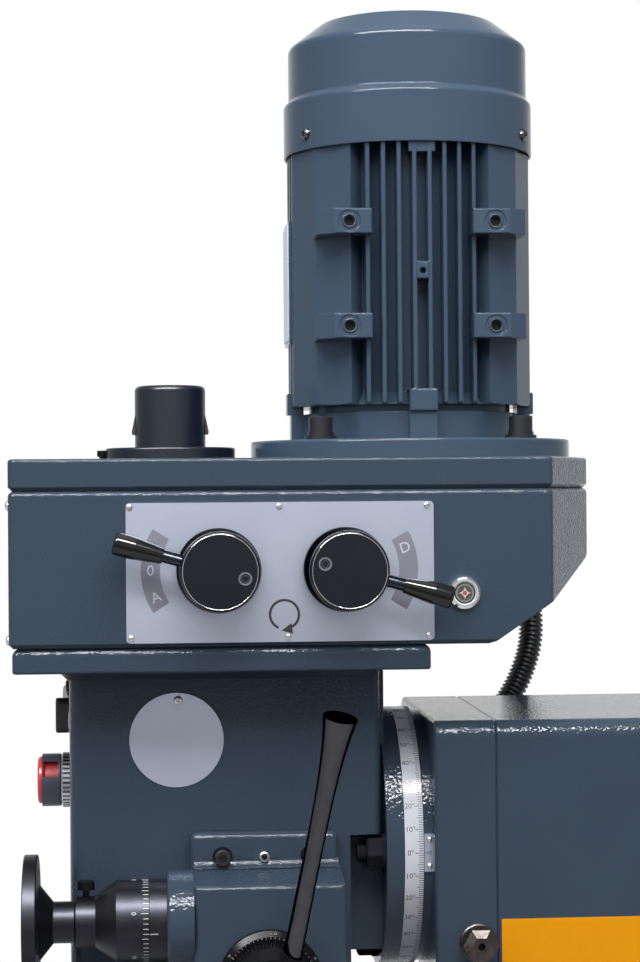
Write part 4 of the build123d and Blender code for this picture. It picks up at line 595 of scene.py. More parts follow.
sight_glass, tree, shader, place = finish(
    "oil_sight_glass", Roughness=0.25, Coat_Weight=1.0, Coat_Roughness=0.04
)
to_middle = tuple(-value * MM for value in SIGHT)
centred = add(tree, "ShaderNodeMapping", {"Vector": place}, {"Location": to_middle})
flat = add(tree, "ShaderNodeVectorMath", {0: centred.outputs[0]}, {1: (0, 1, 1)}, operation="MULTIPLY")
reach = add(tree, "ShaderNodeVectorMath", {0: flat.outputs[0]}, operation="LENGTH")
sides = add(tree, "ShaderNodeSeparateXYZ", {0: flat.outputs[0]})
roots = []
for axis in "YZ":
    out = add(tree, "ShaderNodeMath", {0: sides.outputs[axis]}, operation="ABSOLUTE")
    roots.append(add(tree, "ShaderNodeMath", {0: out.outputs[0]}, {1: STAR_POWER}, operation="POWER"))
spread = add(tree, "ShaderNodeMath", {0: roots[0].outputs[0], 1: roots[1].outputs[0]}, operation="ADD")
star_limit = (STAR_REACH * MM) ** STAR_POWER
in_star = add(tree, "ShaderNodeMath", {0: spread.outputs[0]}, {1: star_limit}, operation="LESS_THAN")
in_dot = add(tree, "ShaderNodeMath", {0: reach.outputs["Value"]}, {1: DOT_R * MM}, operation="LESS_THAN")
span = add(tree, "ShaderNodeMapRange", {0: reach.outputs["Value"]}, {1: 0.0, 2: BANDS_REACH * MM})
bands = add(tree, "ShaderNodeValToRGB", {0: span.outputs[0]})
bands.color_ramp.interpolation = "CONSTANT"
for edge_mm, _ in SIGHT_BANDS[2:]:
    bands.color_ramp.elements.new(edge_mm / BANDS_REACH)
for stop, (edge_mm, code) in zip(bands.color_ramp.elements, SIGHT_BANDS):
    stop.position = edge_mm / BANDS_REACH
    stop.color = linear(code)
star = add(
    tree, "ShaderNodeMix", {0: in_star.outputs[0], 6: bands.outputs[0]}, {7: STAR_TONE}, data_type="RGBA"
)
dot = add(
    tree, "ShaderNodeMix", {0: in_dot.outputs[0], 6: star.outputs[2]}, {7: DOT_TONE}, data_type="RGBA"
)
tree.links.new(dot.outputs[2], shader.inputs["Base Color"])
print(sight_glass.name)

# %% [markdown]
# Every solid now takes its finish. The finish could be set solid by solid, but a table is read at a
# glance, as a painter's list would be.

# %% Finishes on the solids
FINISHES = {
    cast_enamel: "head_casting gearbox_body gearbox_lid gearbox_base_plate feed_box ram_front_plate "
    "spring_cap",
    ram_enamel: "ram_casting",
    motor_enamel: "motor_shield motor_frame motor_rear_shield fan_cowl terminal_box terminal_lid",
    panel_foil: "speed_panel zero_plate blank_plates",
    scale_aluminium: "swivel_scale",
    chrome: "sight_ring",
    zinc: "switch_bezels",
    socket_black: "feed_box_screws",
    sight_glass: "sight_lens",
    knob_left_black: "speed_hub_left",
    knob_right_black: "speed_hub_right",
    phenolic: "speed_grip_left speed_grip_right",
    cap_black: "drawbar_cap cap_base",
    dial_black: "feed_handwheel feed_dial feed_index_ring worm_shaft",
    hub_black: "lever_hub depth_dial",
    lever_steel: "feed_levers",
    bolt_gunmetal: "ram_side_bolts",
    oxide: "dial_screw",
    bolt_grey: "motor_bolts",
    stud_black: "swivel_studs",
    moulded_black: "switch_knob conduit_gland conduit_elbow cooling_fan",
    shroud_grey: "e_stop_shroud",
    stop_red: "e_stop_button",
    lamp_glass: "lamp_lens",
    bright_steel: "quill spindle drawbar spindle_bearings drive_bearings pinion_shaft",
    inner_iron: "motor_stator motor_rotor layshaft_1 layshaft_2 sleeve_gear",
    bronze: "worm_wheel",
}
finished = {name: material for material, names in FINISHES.items() for name in names.split()}
for name, material in finished.items():
    for slot in frame["nodes"][name].material_slots:
        slot.material = material
print(len(finished), "solids finished, left:", sorted(set(frame["nodes"]) - set(finished) - {"conduit"}))

# %% [markdown]
# Screws repeat all over the machine, so each kind is made once. A screw is a lathe profile whose recess
# swings in and out with the angle, as a hexagon or a cross. Cutting the recess as a hole would need a
# boolean, and a radius that depends on the angle gives the same shape with clean faces.

# %% Lathe shapes
def outward(name, shell):
    """A closed shell as a mesh whose faces look outwards."""
    bmesh.ops.recalc_face_normals(shell, faces=shell.faces)
    made = bpy.data.meshes.new(name)
    shell.to_mesh(made)
    shell.free()
    return made


def lathe(name, profile, sides, smooth=False):
    """A closed turned shape about Z.

    A step of the profile is a height and a radius, or a height and a function that gives the radius.
    """
    shell = bmesh.new()
    loops = []
    for height, radius in profile:
        loop = []
        for i in range(sides):
            angle = math.tau * i / sides
            reach = radius(angle) if callable(radius) else radius
            loop.append(shell.verts.new((reach * math.cos(angle), reach * math.sin(angle), height)))
        loops.append(loop)
    for low, high in zip(loops, loops[1:]):
        for i in range(sides):
            wall = shell.faces.new((low[i], low[i - sides + 1], high[i - sides + 1], high[i]))
            wall.smooth = smooth
    shell.faces.new(list(reversed(loops[0])))
    shell.faces.new(loops[-1])
    return outward(name, shell)


def hexagon(flat):
    """Radius of a hexagon whose flats are this far from its middle."""
    return lambda angle: flat / math.cos((angle + math.pi / 6) % (math.pi / 3) - math.pi / 6)


def cross_slot(reach):
    """Radius of a cross recess whose arms reach this far."""
    return lambda angle: reach * (0.34 + 0.66 * abs(math.cos(2 * angle)) ** 3)


print("a hexagon's corner stands", round(hexagon(1)(math.pi / 6), 3), "out")

# %% Screw shapes
# Heights and radii are shares of the head's radius, and the points that carry the screws give the radius.
THREAD_TURNS, THREAD_PITCH = 4, 0.3
THREAD_TURN = ((0.0, 0.98), (0.08, 1.1), (0.16, 1.1), (0.24, 0.98))


def screw(name, profile, sides):
    """A screw kept out of the scene, for the node tree to copy."""
    return bpy.data.objects.new(name, lathe(name, profile, sides))


PAN = screw(
    "pan_head",
    [
        (-0.4, 0.55),
        (0, 0.55),
        (0, 1),
        (0.3, 0.96),
        (0.52, 0.8),
        (0.66, 0.55),
        (0.66, cross_slot(0.52)),
        (0.3, cross_slot(0.30)),
    ],
    32,
)
SOCKET = screw(
    "socket_head",
    [(-1.0, 0.6), (0, 0.6), (0, 1), (1.02, 1), (1.14, 0.9), (1.14, hexagon(0.56)), (0.45, hexagon(0.54))],
    36,
)
RIVET = screw("dome_rivet", [(-0.2, 0.6), (0, 1), (0.3, 0.92), (0.55, 0.7), (0.7, 0.35)], 20)
GRUB = screw(
    "grub_screw", [(-0.5, 1), (0.05, 1), (0.12, 0.9), (0.12, hexagon(0.62)), (-0.45, hexagon(0.58))], 36
)
FERRULE = screw(
    "ferrule", [(-1.0, 0.9), (0.08, 1), (0.16, 0.92), (0.16, 0.76), (0.02, 0.70), (-2.6, 0.66)], 28
)
crests = [(THREAD_PITCH * turn + rise, out) for turn in range(THREAD_TURNS) for rise, out in THREAD_TURN]
THREAD = screw("stud_thread", [(-0.3, 0.9), *crests, (1.2, 0.8)], 24)
print("screw shapes", [len(shape.data.polygons) for shape in (PAN, SOCKET, RIVET, GRUB, FERRULE, THREAD)])

# %% [markdown]
# A node tree sets the screws: it puts one on every point, turned and sized by what the point carries. A
# fitter never leaves two slots at the same angle, so each screw of a set is turned a little further than
# the last.

# %% Screws on points
SLOT_TURN = 0.7

screw_tree, given = sized_tree("screws_on_points", {"Screw": "Object", "Finish": "Material"})
shape = add(screw_tree, "GeometryNodeObjectInfo", {"Object": given["Screw"]})
turn = add(screw_tree, "GeometryNodeInputNamedAttribute", values={"Name": "turn"}, data_type="FLOAT_VECTOR")
head_r = add(screw_tree, "GeometryNodeInputNamedAttribute", values={"Name": "head_r"}, data_type="FLOAT")
points = add(screw_tree, "GeometryNodeMeshToPoints", {"Mesh": given["Geometry"]})
angled = add(screw_tree, "FunctionNodeEulerToRotation", {"Euler": turn.outputs["Attribute"]})
set_in = add(
    screw_tree,
    "GeometryNodeInstanceOnPoints",
    {
        "Points": points.outputs[0],
        "Instance": shape.outputs["Geometry"],
        "Rotation": angled.outputs[0],
        "Scale": head_r.outputs["Attribute"],
    },
)
whole = add(screw_tree, "GeometryNodeRealizeInstances", {"Geometry": set_in.outputs[0]})
painted = add(
    screw_tree, "GeometryNodeSetMaterial", {"Geometry": whole.outputs[0], "Material": given["Finish"]}
)
add(screw_tree, "NodeGroupOutput", {0: painted.outputs[0]})


def set_screws(name, shape, places, body, material):
    """Places are x, y, z and head radius in millimetres, then the way the head looks."""
    mesh = bpy.data.meshes.new(name + "_places")
    mesh.from_pydata([Vector(p[:3]) * MM for p in places], [], [])
    mesh.attributes.new("turn", "FLOAT_VECTOR", "POINT")
    mesh.attributes.new("head_r", "FLOAT", "POINT")
    turns, sizes = mesh.attributes["turn"], mesh.attributes["head_r"]
    for i, (*_, radius, look) in enumerate(places):
        spin = Matrix.Rotation(SLOT_TURN * i, 4, "Z")
        turns.data[i].vector = (Vector(look).to_track_quat("Z", "Y").to_matrix().to_4x4() @ spin).to_euler()
        sizes.data[i].value = radius * MM
    return piece(name, grown(name, mesh, screw_tree, Screw=shape, Finish=material), body)


RIGHT, FRONT, TOP, LEFT = (1, 0, 0), (0, -1, 0), (0, 0, 1), (-1, 0, 0)
print(len(screw_tree.nodes), "nodes")

# %% [markdown]
# The places of the screws follow. Most sets sit on a face that is read from a solid's box, and only the
# places along that face are written here. Two faces lie inside their solid's box and are written out:
# those of the motor's pads and of the feed box's flange.

# %% Screws of the panel and the motor
PANEL_ROWS = ((502.3, (-31.3, 75.9, 183)), (408.3, (-30.5, 82, 184)))
PANEL_SCREW_R, PLATE_SCREW = 2.3, (3.3, 358.5, 3.4)
COWL_ANGLES, COWL_SCREW_Z, COWL_SCREW_R = (-59, 59, 121, -121), 786.4, 4.8
PAD_FACE, PAD_OUT, PAD_HEIGHTS, FERRULE_R, SHADE_DEPTH, SHADE_R = 96.3, 55, (636.3, 714.5), 5.6, 1.2, 4.2

PANEL_FACE = box_mm("speed_panel")[1].x
panel_places = [(PANEL_FACE, y, z, PANEL_SCREW_R, RIGHT) for z, row in PANEL_ROWS for y in row]
plate_place = (box_mm("blank_plates")[1].x, *PLATE_SCREW, RIGHT)
set_screws("panel_screws", PAN, [*panel_places, plate_place], "head", zinc)

cowl_r = box_mm("fan_cowl")[1].x
cowl_places = []
for angle in map(math.radians, COWL_ANGLES):
    out = (cowl_r * math.cos(angle), cowl_r * math.sin(angle), 0)
    cowl_places.append((out[0], MOTOR.y + out[1], COWL_SCREW_Z, COWL_SCREW_R, out))
set_screws("cowl_screws", PAN, cowl_places, "head", screw_blued)

pads = [(MOTOR.y + side * PAD_OUT, z) for side in (-1, 1) for z in PAD_HEIGHTS]
ferrule_places = [(PAD_FACE, *pad, FERRULE_R, RIGHT) for pad in pads]
set_screws("pad_ferrules", FERRULE, ferrule_places, "head", motor_enamel)
# The dark oxide plugs deep in the pads' holes are painted shade, which keeps the holes dark.
hole_shade_places = [(PAD_FACE - SHADE_DEPTH, *pad, SHADE_R, RIGHT) for pad in pads]
set_screws("pad_plugs", GRUB, hole_shade_places, "head", oxide)

# %% Screws of the covers and plates
COVER_X, COVER_HEIGHTS, COVER_SCREW_R = (-135, 135), (407, 504), 3.8
FEED_FACE, FEED_SCREW, FEED_SCREW_RISE, FEED_SCREW_R = 105.0, (65.9, 243.4), 1.9, 3.7
FEED_HOLE_RISE, FEED_HOLE_R = 0.4, 2.2
TERMINAL_INSET, TERMINAL_SCREW_R = 8, 4.2
RIVET_OUT, RIVET_SHIFT, RIVET_R = (-10, 10), 0.6, 2.2

box_front = box_mm("gearbox_body")[0].y
cover_places = [(x, box_front, z, COVER_SCREW_R, FRONT) for x in COVER_X for z in COVER_HEIGHTS]
set_screws("front_cover_screws", PAN, cover_places, "head", zinc)

feed_place = (FEED_FACE + FEED_SCREW_RISE, *FEED_SCREW, FEED_SCREW_R, RIGHT)
set_screws("feed_grub_screw", GRUB, [feed_place], "head", zinc)
# The dark oxide dome in the grub screw's hex socket is painted shade, which keeps the socket dark.
hole_place = (FEED_FACE + FEED_HOLE_RISE, *FEED_SCREW, FEED_HOLE_R, RIGHT)
set_screws("feed_grub_hole", RIVET, [hole_place], "head", oxide)

terminal_low, terminal_high = box_mm("terminal_lid")
terminal_y, terminal_z = (
    (low + TERMINAL_INSET, high - TERMINAL_INSET) for low, high in zip(terminal_low.yz, terminal_high.yz)
)
terminal_places = [(terminal_low.x, y, z, TERMINAL_SCREW_R, LEFT) for y in terminal_y for z in terminal_z]
set_screws("terminal_screws", PAN, terminal_places, "head", zinc)

zero_low, zero_high = box_mm("zero_plate")
zero_face, zero_y = zero_high.x, (zero_low.y + zero_high.y) / 2
rivet_places = [(zero_face, zero_y + RIVET_SHIFT, TILT.z + z, RIVET_R, RIGHT) for z in RIVET_OUT]
set_screws("zero_rivets", RIVET, rivet_places, "ram", zinc)

# %% Screws of the knobs, threads of the studs and the oil plug
KNOB_SCREW_OUT, KNOB_SCREW_DROP = 17.5, 4.9
KNOB_RIM_DEPTH, KNOB_RIM_R, KNOB_SOCKET_DEPTH, KNOB_SOCKET_R = 1.1, 5.0, 1.5, 3.1
STUD_CIRCLE, STUD_ANGLES, STUD_REACH, STUD_R = 82, (-1.4, 181.4, 270), 7, 6.0
OIL_PLUG_Y, OIL_PLUG_RISE, OIL_PLUG_R = -53, 3.8, 4.2


def knob_face(body):
    """The outer face of a speed knob."""
    return box_mm(body.replace("speed", "speed_hub"))[1].x


for body, knob, side in KNOBS:
    face, spot = knob_face(body), (knob.y + side * KNOB_SCREW_OUT, knob.z - side * KNOB_SCREW_DROP)
    # The ring round each knob screw is a lighter grey steel, a painted highlight for the lit counterbore
    # edge.
    rim_place = (face - KNOB_RIM_DEPTH, *spot, KNOB_RIM_R, RIGHT)
    set_screws(body + "_screw", FERRULE, [rim_place], body, highlight_grey_steel)
    socket_place = (face - KNOB_SOCKET_DEPTH, *spot, KNOB_SOCKET_R, RIGHT)
    set_screws(body + "_socket", GRUB, [socket_place], body, screw_blued)

thread_foot = box_mm("swivel_studs")[0].y + STUD_REACH
stud_places = []
for angle in map(math.radians, STUD_ANGLES):
    across, rise = STUD_CIRCLE * math.cos(angle), STUD_CIRCLE * math.sin(angle)
    stud_places.append((across, thread_foot, TILT.z + rise, STUD_R, FRONT))
set_screws("stud_threads", THREAD, stud_places, "head", stud_black)

oil_place = (0, OIL_PLUG_Y, box_mm("gearbox_lid")[1].z + OIL_PLUG_RISE, OIL_PLUG_R, TOP)
set_screws("oil_plug", SOCKET, [oil_place], "head", oxide)

# %% [markdown]
# Graduations repeat round an axis: every tenth is long, every fifth is middling and the rest are short.
# The tree lays a thin bar for each, spins it about Z, and can tip it from lying along the axis to lying
# along the radius, so that one tree marks drums and faces alike. The finished ring is then moved to its
# dial.

# %% Graduation tree
INK = 0.16

mark_tree, given = sized_tree(
    "graduations",
    {
        "Count": "Int",
        "First": "Float",
        "Step": "Float",
        "Radius": "Float",
        "Tip": "Float",
        "Width": "Float",
        "Short": "Float",
        "Middle": "Float",
        "Long": "Float",
        "Finish": "Material",
    },
)
number = add(mark_tree, "GeometryNodeInputIndex")
length = given["Short"]
for every, label in ((5.0, "Middle"), (10.0, "Long")):
    left_over = add(mark_tree, "ShaderNodeMath", {0: number.outputs[0]}, {1: every}, operation="MODULO")
    # What is left over is a whole number, so less than a half means nothing.
    is_due = add(mark_tree, "ShaderNodeMath", {0: left_over.outputs[0]}, {1: 0.5}, operation="LESS_THAN")
    choice = {0: is_due.outputs[0], 1: length, 2: given[label]}
    length = add(mark_tree, "GeometryNodeSwitch", choice, input_type="FLOAT").outputs[0]
swept = add(mark_tree, "ShaderNodeMath", {0: number.outputs[0], 1: given["Step"]}, operation="MULTIPLY")
angle = add(mark_tree, "ShaderNodeMath", {0: swept.outputs[0], 1: given["First"]}, operation="ADD")
cosine = add(mark_tree, "ShaderNodeMath", {0: angle.outputs[0]}, operation="COSINE")
sine = add(mark_tree, "ShaderNodeMath", {0: angle.outputs[0]}, operation="SINE")
unit = add(mark_tree, "ShaderNodeCombineXYZ", {0: cosine.outputs[0], 1: sine.outputs[0]})
spot = add(
    mark_tree, "ShaderNodeVectorMath", {0: unit.outputs[0], "Scale": given["Radius"]}, operation="SCALE"
)
points = add(mark_tree, "GeometryNodePoints", {"Count": given["Count"], "Position": spot.outputs[0]})
bar_size = add(mark_tree, "ShaderNodeCombineXYZ", {1: given["Width"]}, {0: INK * MM, 2: 1.0})
bar = add(mark_tree, "GeometryNodeMeshCube", {"Size": bar_size.outputs[0]})
# The bar is one metre long and starts at its point, so stretching it by a length gives that length.
ended = add(mark_tree, "GeometryNodeTransform", {"Geometry": bar.outputs[0]}, {"Translation": (0, 0, 0.5)})
lean = add(mark_tree, "ShaderNodeCombineXYZ", {1: given["Tip"], 2: angle.outputs[0]})
angled = add(mark_tree, "FunctionNodeEulerToRotation", {"Euler": lean.outputs[0]})
stretch = add(mark_tree, "ShaderNodeCombineXYZ", {2: length}, {0: 1.0, 1: 1.0})
laid = add(
    mark_tree,
    "GeometryNodeInstanceOnPoints",
    {
        "Points": points.outputs[0],
        "Instance": ended.outputs[0],
        "Rotation": angled.outputs[0],
        "Scale": stretch.outputs[0],
    },
)
whole = add(mark_tree, "GeometryNodeRealizeInstances", {"Geometry": laid.outputs[0]})
painted = add(
    mark_tree, "GeometryNodeSetMaterial", {"Geometry": whole.outputs[0], "Material": given["Finish"]}
)
add(mark_tree, "NodeGroupOutput", {0: painted.outputs[0]})
print(len(mark_tree.nodes), "nodes")

# %% [markdown]
# A ring's own X and Y axes say where its zero points and which way it counts, and its Z axis says where a
# mark on a drum runs. Most rings look to the front of the machine or to its right, so those two turns
# have names.

# %% Rings of marks
LOOKS_FRONT = ((1, 0, 0), (0, 0, 1), (0, -1, 0))
LOOKS_RIGHT = ((0, 1, 0), (0, 0, 1), (1, 0, 0))


def seat(axes, origin_mm):
    """The matrix that moves what was made about Z to an axis elsewhere."""
    turn = Matrix([Vector(axis) for axis in axes]).transposed().to_4x4()
    return Matrix.Translation(Vector(origin_mm) * MM) @ turn


def graduate(
    name, place, body, material, count, first, step, radius_mm, width_mm, lengths_mm, tip=0.0
):
    """A ring of graduations, made about Z and moved to its place.

    The lengths are those of the short, the middle and the long marks.
    """
    short, middle, long = (length * MM for length in lengths_mm)
    mesh = grown(
        name,
        bpy.data.meshes.new(name),
        mark_tree,
        Count=count,
        First=first,
        Step=step,
        Radius=radius_mm * MM,
        Tip=tip,
        Width=width_mm * MM,
        Short=short,
        Middle=middle,
        Long=long,
        Finish=material,
    )
    mesh.transform(place)
    return piece(name, mesh, body)


print("front seat faces", list(seat(LOOKS_FRONT, ORIGIN).col[2].xyz))

# %% [markdown]
# The tilt scale counts degrees from the side of the machine, and its marks run forward from the rear
# edge. The feed dial has fifty divisions and is read against one line on the ring behind it. The depth
# dial on the lever hub is marked on its face, so its marks are tipped to lie along the radius.

# %% Graduations on the scale and dials
DIAL_R, DIAL_DIVISIONS, DIAL_ZERO, DIAL_EDGE = 29.5, 50, math.radians(20), -19.6
INDEX_ANGLE, INDEX_LENGTH, INDEX_EDGE = math.radians(-9), 6.0, -18.9
DEPTH_FACE, DEPTH_R, DEPTH_DIVISIONS, DEPTH_ZERO = 164, 32.6, 66, math.radians(90)
SCALE_MARGIN = 0.1

scale_high = box_mm("swivel_scale")[1]
SCALE_R = scale_high.x
SCALE_SEAT = seat(LOOKS_FRONT, (0, scale_high.y - SCALE_MARGIN, TILT.z))
DIAL_SEAT = seat(LOOKS_FRONT, (FINE_FEED.x, DIAL_EDGE, FINE_FEED.z))
INDEX_SEAT = seat(LOOKS_FRONT, (FINE_FEED.x, INDEX_EDGE + INDEX_LENGTH, FINE_FEED.z))
DEPTH_SEAT = seat(LOOKS_RIGHT, (DEPTH_FACE, HUB.y, HUB.z))
graduate(
    "scale_marks",
    SCALE_SEAT,
    "head",
    print_black,
    count=181,
    first=-math.pi / 2,
    step=math.radians(1),
    radius_mm=SCALE_R,
    width_mm=0.45,
    lengths_mm=(3.4, 4.7, 6.2),
)
graduate(
    "dial_marks",
    DIAL_SEAT,
    "fine_feed",
    print_white,
    count=DIAL_DIVISIONS,
    first=DIAL_ZERO,
    step=math.tau / DIAL_DIVISIONS,
    radius_mm=DIAL_R,
    width_mm=0.45,
    lengths_mm=(3.9, 4.8, 5.6),
)
graduate(
    "index_mark",
    INDEX_SEAT,
    "head",
    print_white,
    count=1,
    first=INDEX_ANGLE,
    step=0.0,
    radius_mm=DIAL_R,
    width_mm=0.6,
    lengths_mm=(INDEX_LENGTH, INDEX_LENGTH, INDEX_LENGTH),
)
graduate(
    "depth_marks",
    DEPTH_SEAT,
    "feed_hub",
    print_pale,
    count=DEPTH_DIVISIONS,
    first=DEPTH_ZERO,
    step=math.tau / DEPTH_DIVISIONS,
    radius_mm=DEPTH_R,
    width_mm=0.3,
    lengths_mm=(1.1, 1.5, 1.9),
    tip=math.pi / 2,
)

# %% [markdown]
# The same tree makes the knurl of the bright bezels on the head's front: short bars all round the rim,
# each a little under half as wide as its share of the rim.

# %% Knurled bezels
BAR_SHARE = 0.45

bezel_low, bezel_high = box_mm("switch_bezels")
STOP, LAMP = (sum(box_mm(node), Vector()) / 2 for node in ("e_stop_button", "lamp_lens"))
for name, centre, radius, count, length in (
    ("stop_knurl", STOP, STOP.z - bezel_low.z, 36, 7.4),
    ("lamp_knurl", LAMP, 14.0, 24, 5.0),
):
    graduate(
        name,
        seat(LOOKS_FRONT, (centre.x, bezel_high.y, centre.z)),
        "head",
        screw_blued,
        count=count,
        first=0.0,
        step=math.tau / count,
        radius_mm=radius,
        width_mm=BAR_SHARE * math.tau * radius / count,
        lengths_mm=(length, length, length),
    )

# %% [markdown]
# Numbers start as flat text with a little thickness, so that they are closed solids. Each is made a mesh
# first and then bent: on a drum, one direction of the text becomes an angle and the other runs along the
# axis. A modifier could bend them too, but the formula is two lines long and leaves plain meshes.

# %% Helpers for numbers
CAPITAL_SHARE = 0.7


def words(text, height_mm, thick_mm=INK):
    """Flat text as a mesh, centred, in metres, with its thickness along Z."""
    curve = bpy.data.curves.new("words", "FONT")
    curve.body = text
    curve.size = height_mm * MM / CAPITAL_SHARE
    curve.extrude = thick_mm * MM / 2
    curve.resolution_u = 3
    curve.align_x = curve.align_y = "CENTER"
    holder = bpy.data.objects.new("words", curve)
    scene.collection.objects.link(holder)
    bpy.context.view_layer.update()
    mesh = bpy.data.meshes.new_from_object(holder.evaluated_get(bpy.context.evaluated_depsgraph_get()))
    bpy.data.objects.remove(holder)
    return mesh


def wrap(mesh, radius, angle, height, lies_along_axis):
    """Bends flat text round a drum about Z. It reads along the axis or round the drum."""
    for vertex in mesh.vertices:
        x, y, z = vertex.co
        across, lengthwise = (y, -x) if lies_along_axis else (x, y)
        turn = angle + across / radius
        reach = radius + z
        vertex.co = (reach * math.cos(turn), reach * math.sin(turn), height + lengthwise)
    return mesh


def gathered(name, meshes, place=Matrix.Identity(4)):
    """Joins meshes into one and moves it to its place."""
    whole = bmesh.new()
    for mesh in meshes:
        whole.from_mesh(mesh)
    made = bpy.data.meshes.new(name)
    whole.to_mesh(made)
    whole.free()
    made.transform(place)
    return made


print("capitals are", CAPITAL_SHARE, "of the type's size")

# %% Numbers on the scale and dials
SCALE_NUMBER, SCALE_NUMBER_RISE = 3.9, 9.6
DIAL_NUMBER, DIAL_NUMBER_RISE, DIAL_NUMBERS = 3.4, 10.5, 5
DEPTH_NUMBER, DEPTH_NUMBER_OUT = 1.5, 36.4

scale_numbers = []
for degrees in range(-80, 81, 10):
    mesh = words(str(abs(degrees)) + "°", SCALE_NUMBER)
    scale_numbers.append(wrap(mesh, SCALE_R * MM, math.radians(degrees), SCALE_NUMBER_RISE * MM, True))
mesh = gathered("scale_numbers", scale_numbers, SCALE_SEAT)
piece("scale_numbers", mesh, "head", print_black)

dial_numbers = []
for count in range(DIAL_NUMBERS):
    mesh = words(str(10 * count), DIAL_NUMBER)
    angle = DIAL_ZERO + math.tau * count / DIAL_NUMBERS
    dial_numbers.append(wrap(mesh, DIAL_R * MM, angle, DIAL_NUMBER_RISE * MM, False))
mesh = gathered("dial_numbers", dial_numbers, DIAL_SEAT)
piece("dial_numbers", mesh, "fine_feed", print_white)

depth_numbers = []
for count in range(0, DEPTH_DIVISIONS, 5):
    mesh = words(str(count), DEPTH_NUMBER)
    turn = Matrix.Rotation(math.tau * count / DEPTH_DIVISIONS, 4, "Z")
    mesh.transform(turn @ Matrix.Translation((0, DEPTH_NUMBER_OUT * MM, 0)))
    depth_numbers.append(mesh)
mesh = gathered("depth_numbers", depth_numbers, DEPTH_SEAT)
piece("depth_numbers", mesh, "feed_hub", print_pale)

# %% [markdown]
# The panel is screen printed: two grey arcs, a letter for every lever position and an arrow for the way
# the spindle turns. The zero plate has a line and a small ring that the scale is read against. Print
# could be a pattern in the plate's finish, but thin raised ink keeps sharp edges from any distance.

# %% Helpers for print
def ink_arc(inner_mm, outer_mm, start, end, steps=40):
    """A flat ring sector with a little thickness, about Z, from one angle to another in degrees."""
    shell = bmesh.new()
    rows = []
    for i in range(steps + 1):
        angle = math.radians(start + (end - start) * i / steps)
        way = Vector((math.cos(angle), math.sin(angle), 0))
        rows.append(
            [
                shell.verts.new(radius * MM * way + Vector((0, 0, face * INK * MM / 2)))
                for radius, face in ((inner_mm, -1), (outer_mm, -1), (outer_mm, 1), (inner_mm, 1))
            ]
        )
    for a, b in zip(rows, rows[1:]):
        for i in range(4):
            shell.faces.new((a[i], b[i], b[(i + 1) % 4], a[(i + 1) % 4]))
    shell.faces.new(rows[0])
    shell.faces.new(list(reversed(rows[-1])))
    return outward("arc", shell)


def ink_shape(corners_mm, thick_mm=INK):
    """A flat polygon with a little thickness."""
    shell = bmesh.new()
    low = [shell.verts.new((x * MM, y * MM, -thick_mm * MM / 2)) for x, y in corners_mm]
    high = [shell.verts.new((x * MM, y * MM, thick_mm * MM / 2)) for x, y in corners_mm]
    shell.faces.new(list(reversed(low)))
    shell.faces.new(high)
    for i in range(len(low)):
        shell.faces.new((low[i - 1], low[i], high[i], high[i - 1]))
    return outward("shape", shell)


# A ring stops short of a full turn by a hair, so that its two ends stay apart.
FULL_TURN = 359.9
print("ink stands", INK, "mm high")

# %% Print on the panel
ARC_INNER, ARC_OUTER, ARC_LEFT, ARC_RIGHT, ARC_SHIFT = 42, 55.7, (147.3, 212.7), (-32, 29.5), -3
LETTER_OUT, LETTER_H, LETTER_INK = 48.8, 7.5, 0.3
ARROW_PLACE, ARROW_RING, ARROW_SWEEP = (79.3, 424.4), (9.5, 11.3), (-58, 246)
ARROW_HEAD = [(-2.2, -11.4), (5.1, -6.1), (6.1, -13.9)]

left_knob = seat(LOOKS_RIGHT, (PANEL_FACE, *KNOB_LEFT.yz))
right_knob = seat(LOOKS_RIGHT, (PANEL_FACE, KNOB_RIGHT.y + ARC_SHIFT, KNOB_RIGHT.z))
arcs = []
for knob, sweep in ((left_knob, ARC_LEFT), (right_knob, ARC_RIGHT)):
    arc = ink_arc(ARC_INNER, ARC_OUTER, *sweep)
    arc.transform(knob)
    arcs.append(arc)
piece("panel_arcs", gathered("panel_arcs", arcs), "head", print_grey)

letters = []
for knob, letter, angle in (
    (left_knob, "B", 167),
    (left_knob, "0", 180),
    (left_knob, "A", 203),
    (right_knob, "D", 18),
    (right_knob, "C", -13),
):
    mesh = words(letter, LETTER_H, LETTER_INK)
    lean = angle if abs(angle) < 90 else angle - 180
    way = math.radians(angle)
    spot = Vector((LETTER_OUT * math.cos(way), LETTER_OUT * math.sin(way), 0)) * MM
    mesh.transform(knob @ Matrix.Translation(spot) @ Matrix.Rotation(math.radians(lean), 4, "Z"))
    letters.append(mesh)
piece("panel_letters", gathered("panel_letters", letters), "head", print_pale)

arrow = [ink_arc(*ARROW_RING, *ARROW_SWEEP, steps=60), ink_shape(ARROW_HEAD)]
mesh = gathered("turning_arrow", arrow, seat(LOOKS_RIGHT, (PANEL_FACE, *ARROW_PLACE)))
piece("turning_arrow", mesh, "head", print_black)

# %% Print on the zero plate
ZERO_LINE, ZERO_RING, ZERO_RING_OUT = [(0.1, -0.2), (3.0, -0.2), (3.0, 0.2), (0.1, 0.2)], (0.9, 1.3), 4.3

zero_ring = ink_arc(*ZERO_RING, 0, FULL_TURN, steps=24)
zero_ring.transform(Matrix.Translation((ZERO_RING_OUT * MM, 0, 0)))
zero_seat = seat(LOOKS_RIGHT, (zero_face, zero_low.y, TILT.z))
mesh = gathered("zero_mark", [ink_shape(ZERO_LINE), zero_ring], zero_seat)
piece("zero_mark", mesh, "ram", print_black)

# %% [markdown]
# Each speed knob has a polished shoulder and a thin bright bead round its face. Both could be cut in the
# solid, but an edge a few millimetres wide needs many sides to shine in one clean line. So they are lathe
# shapes, shaded smooth, whose closed backs lie inside the knob.

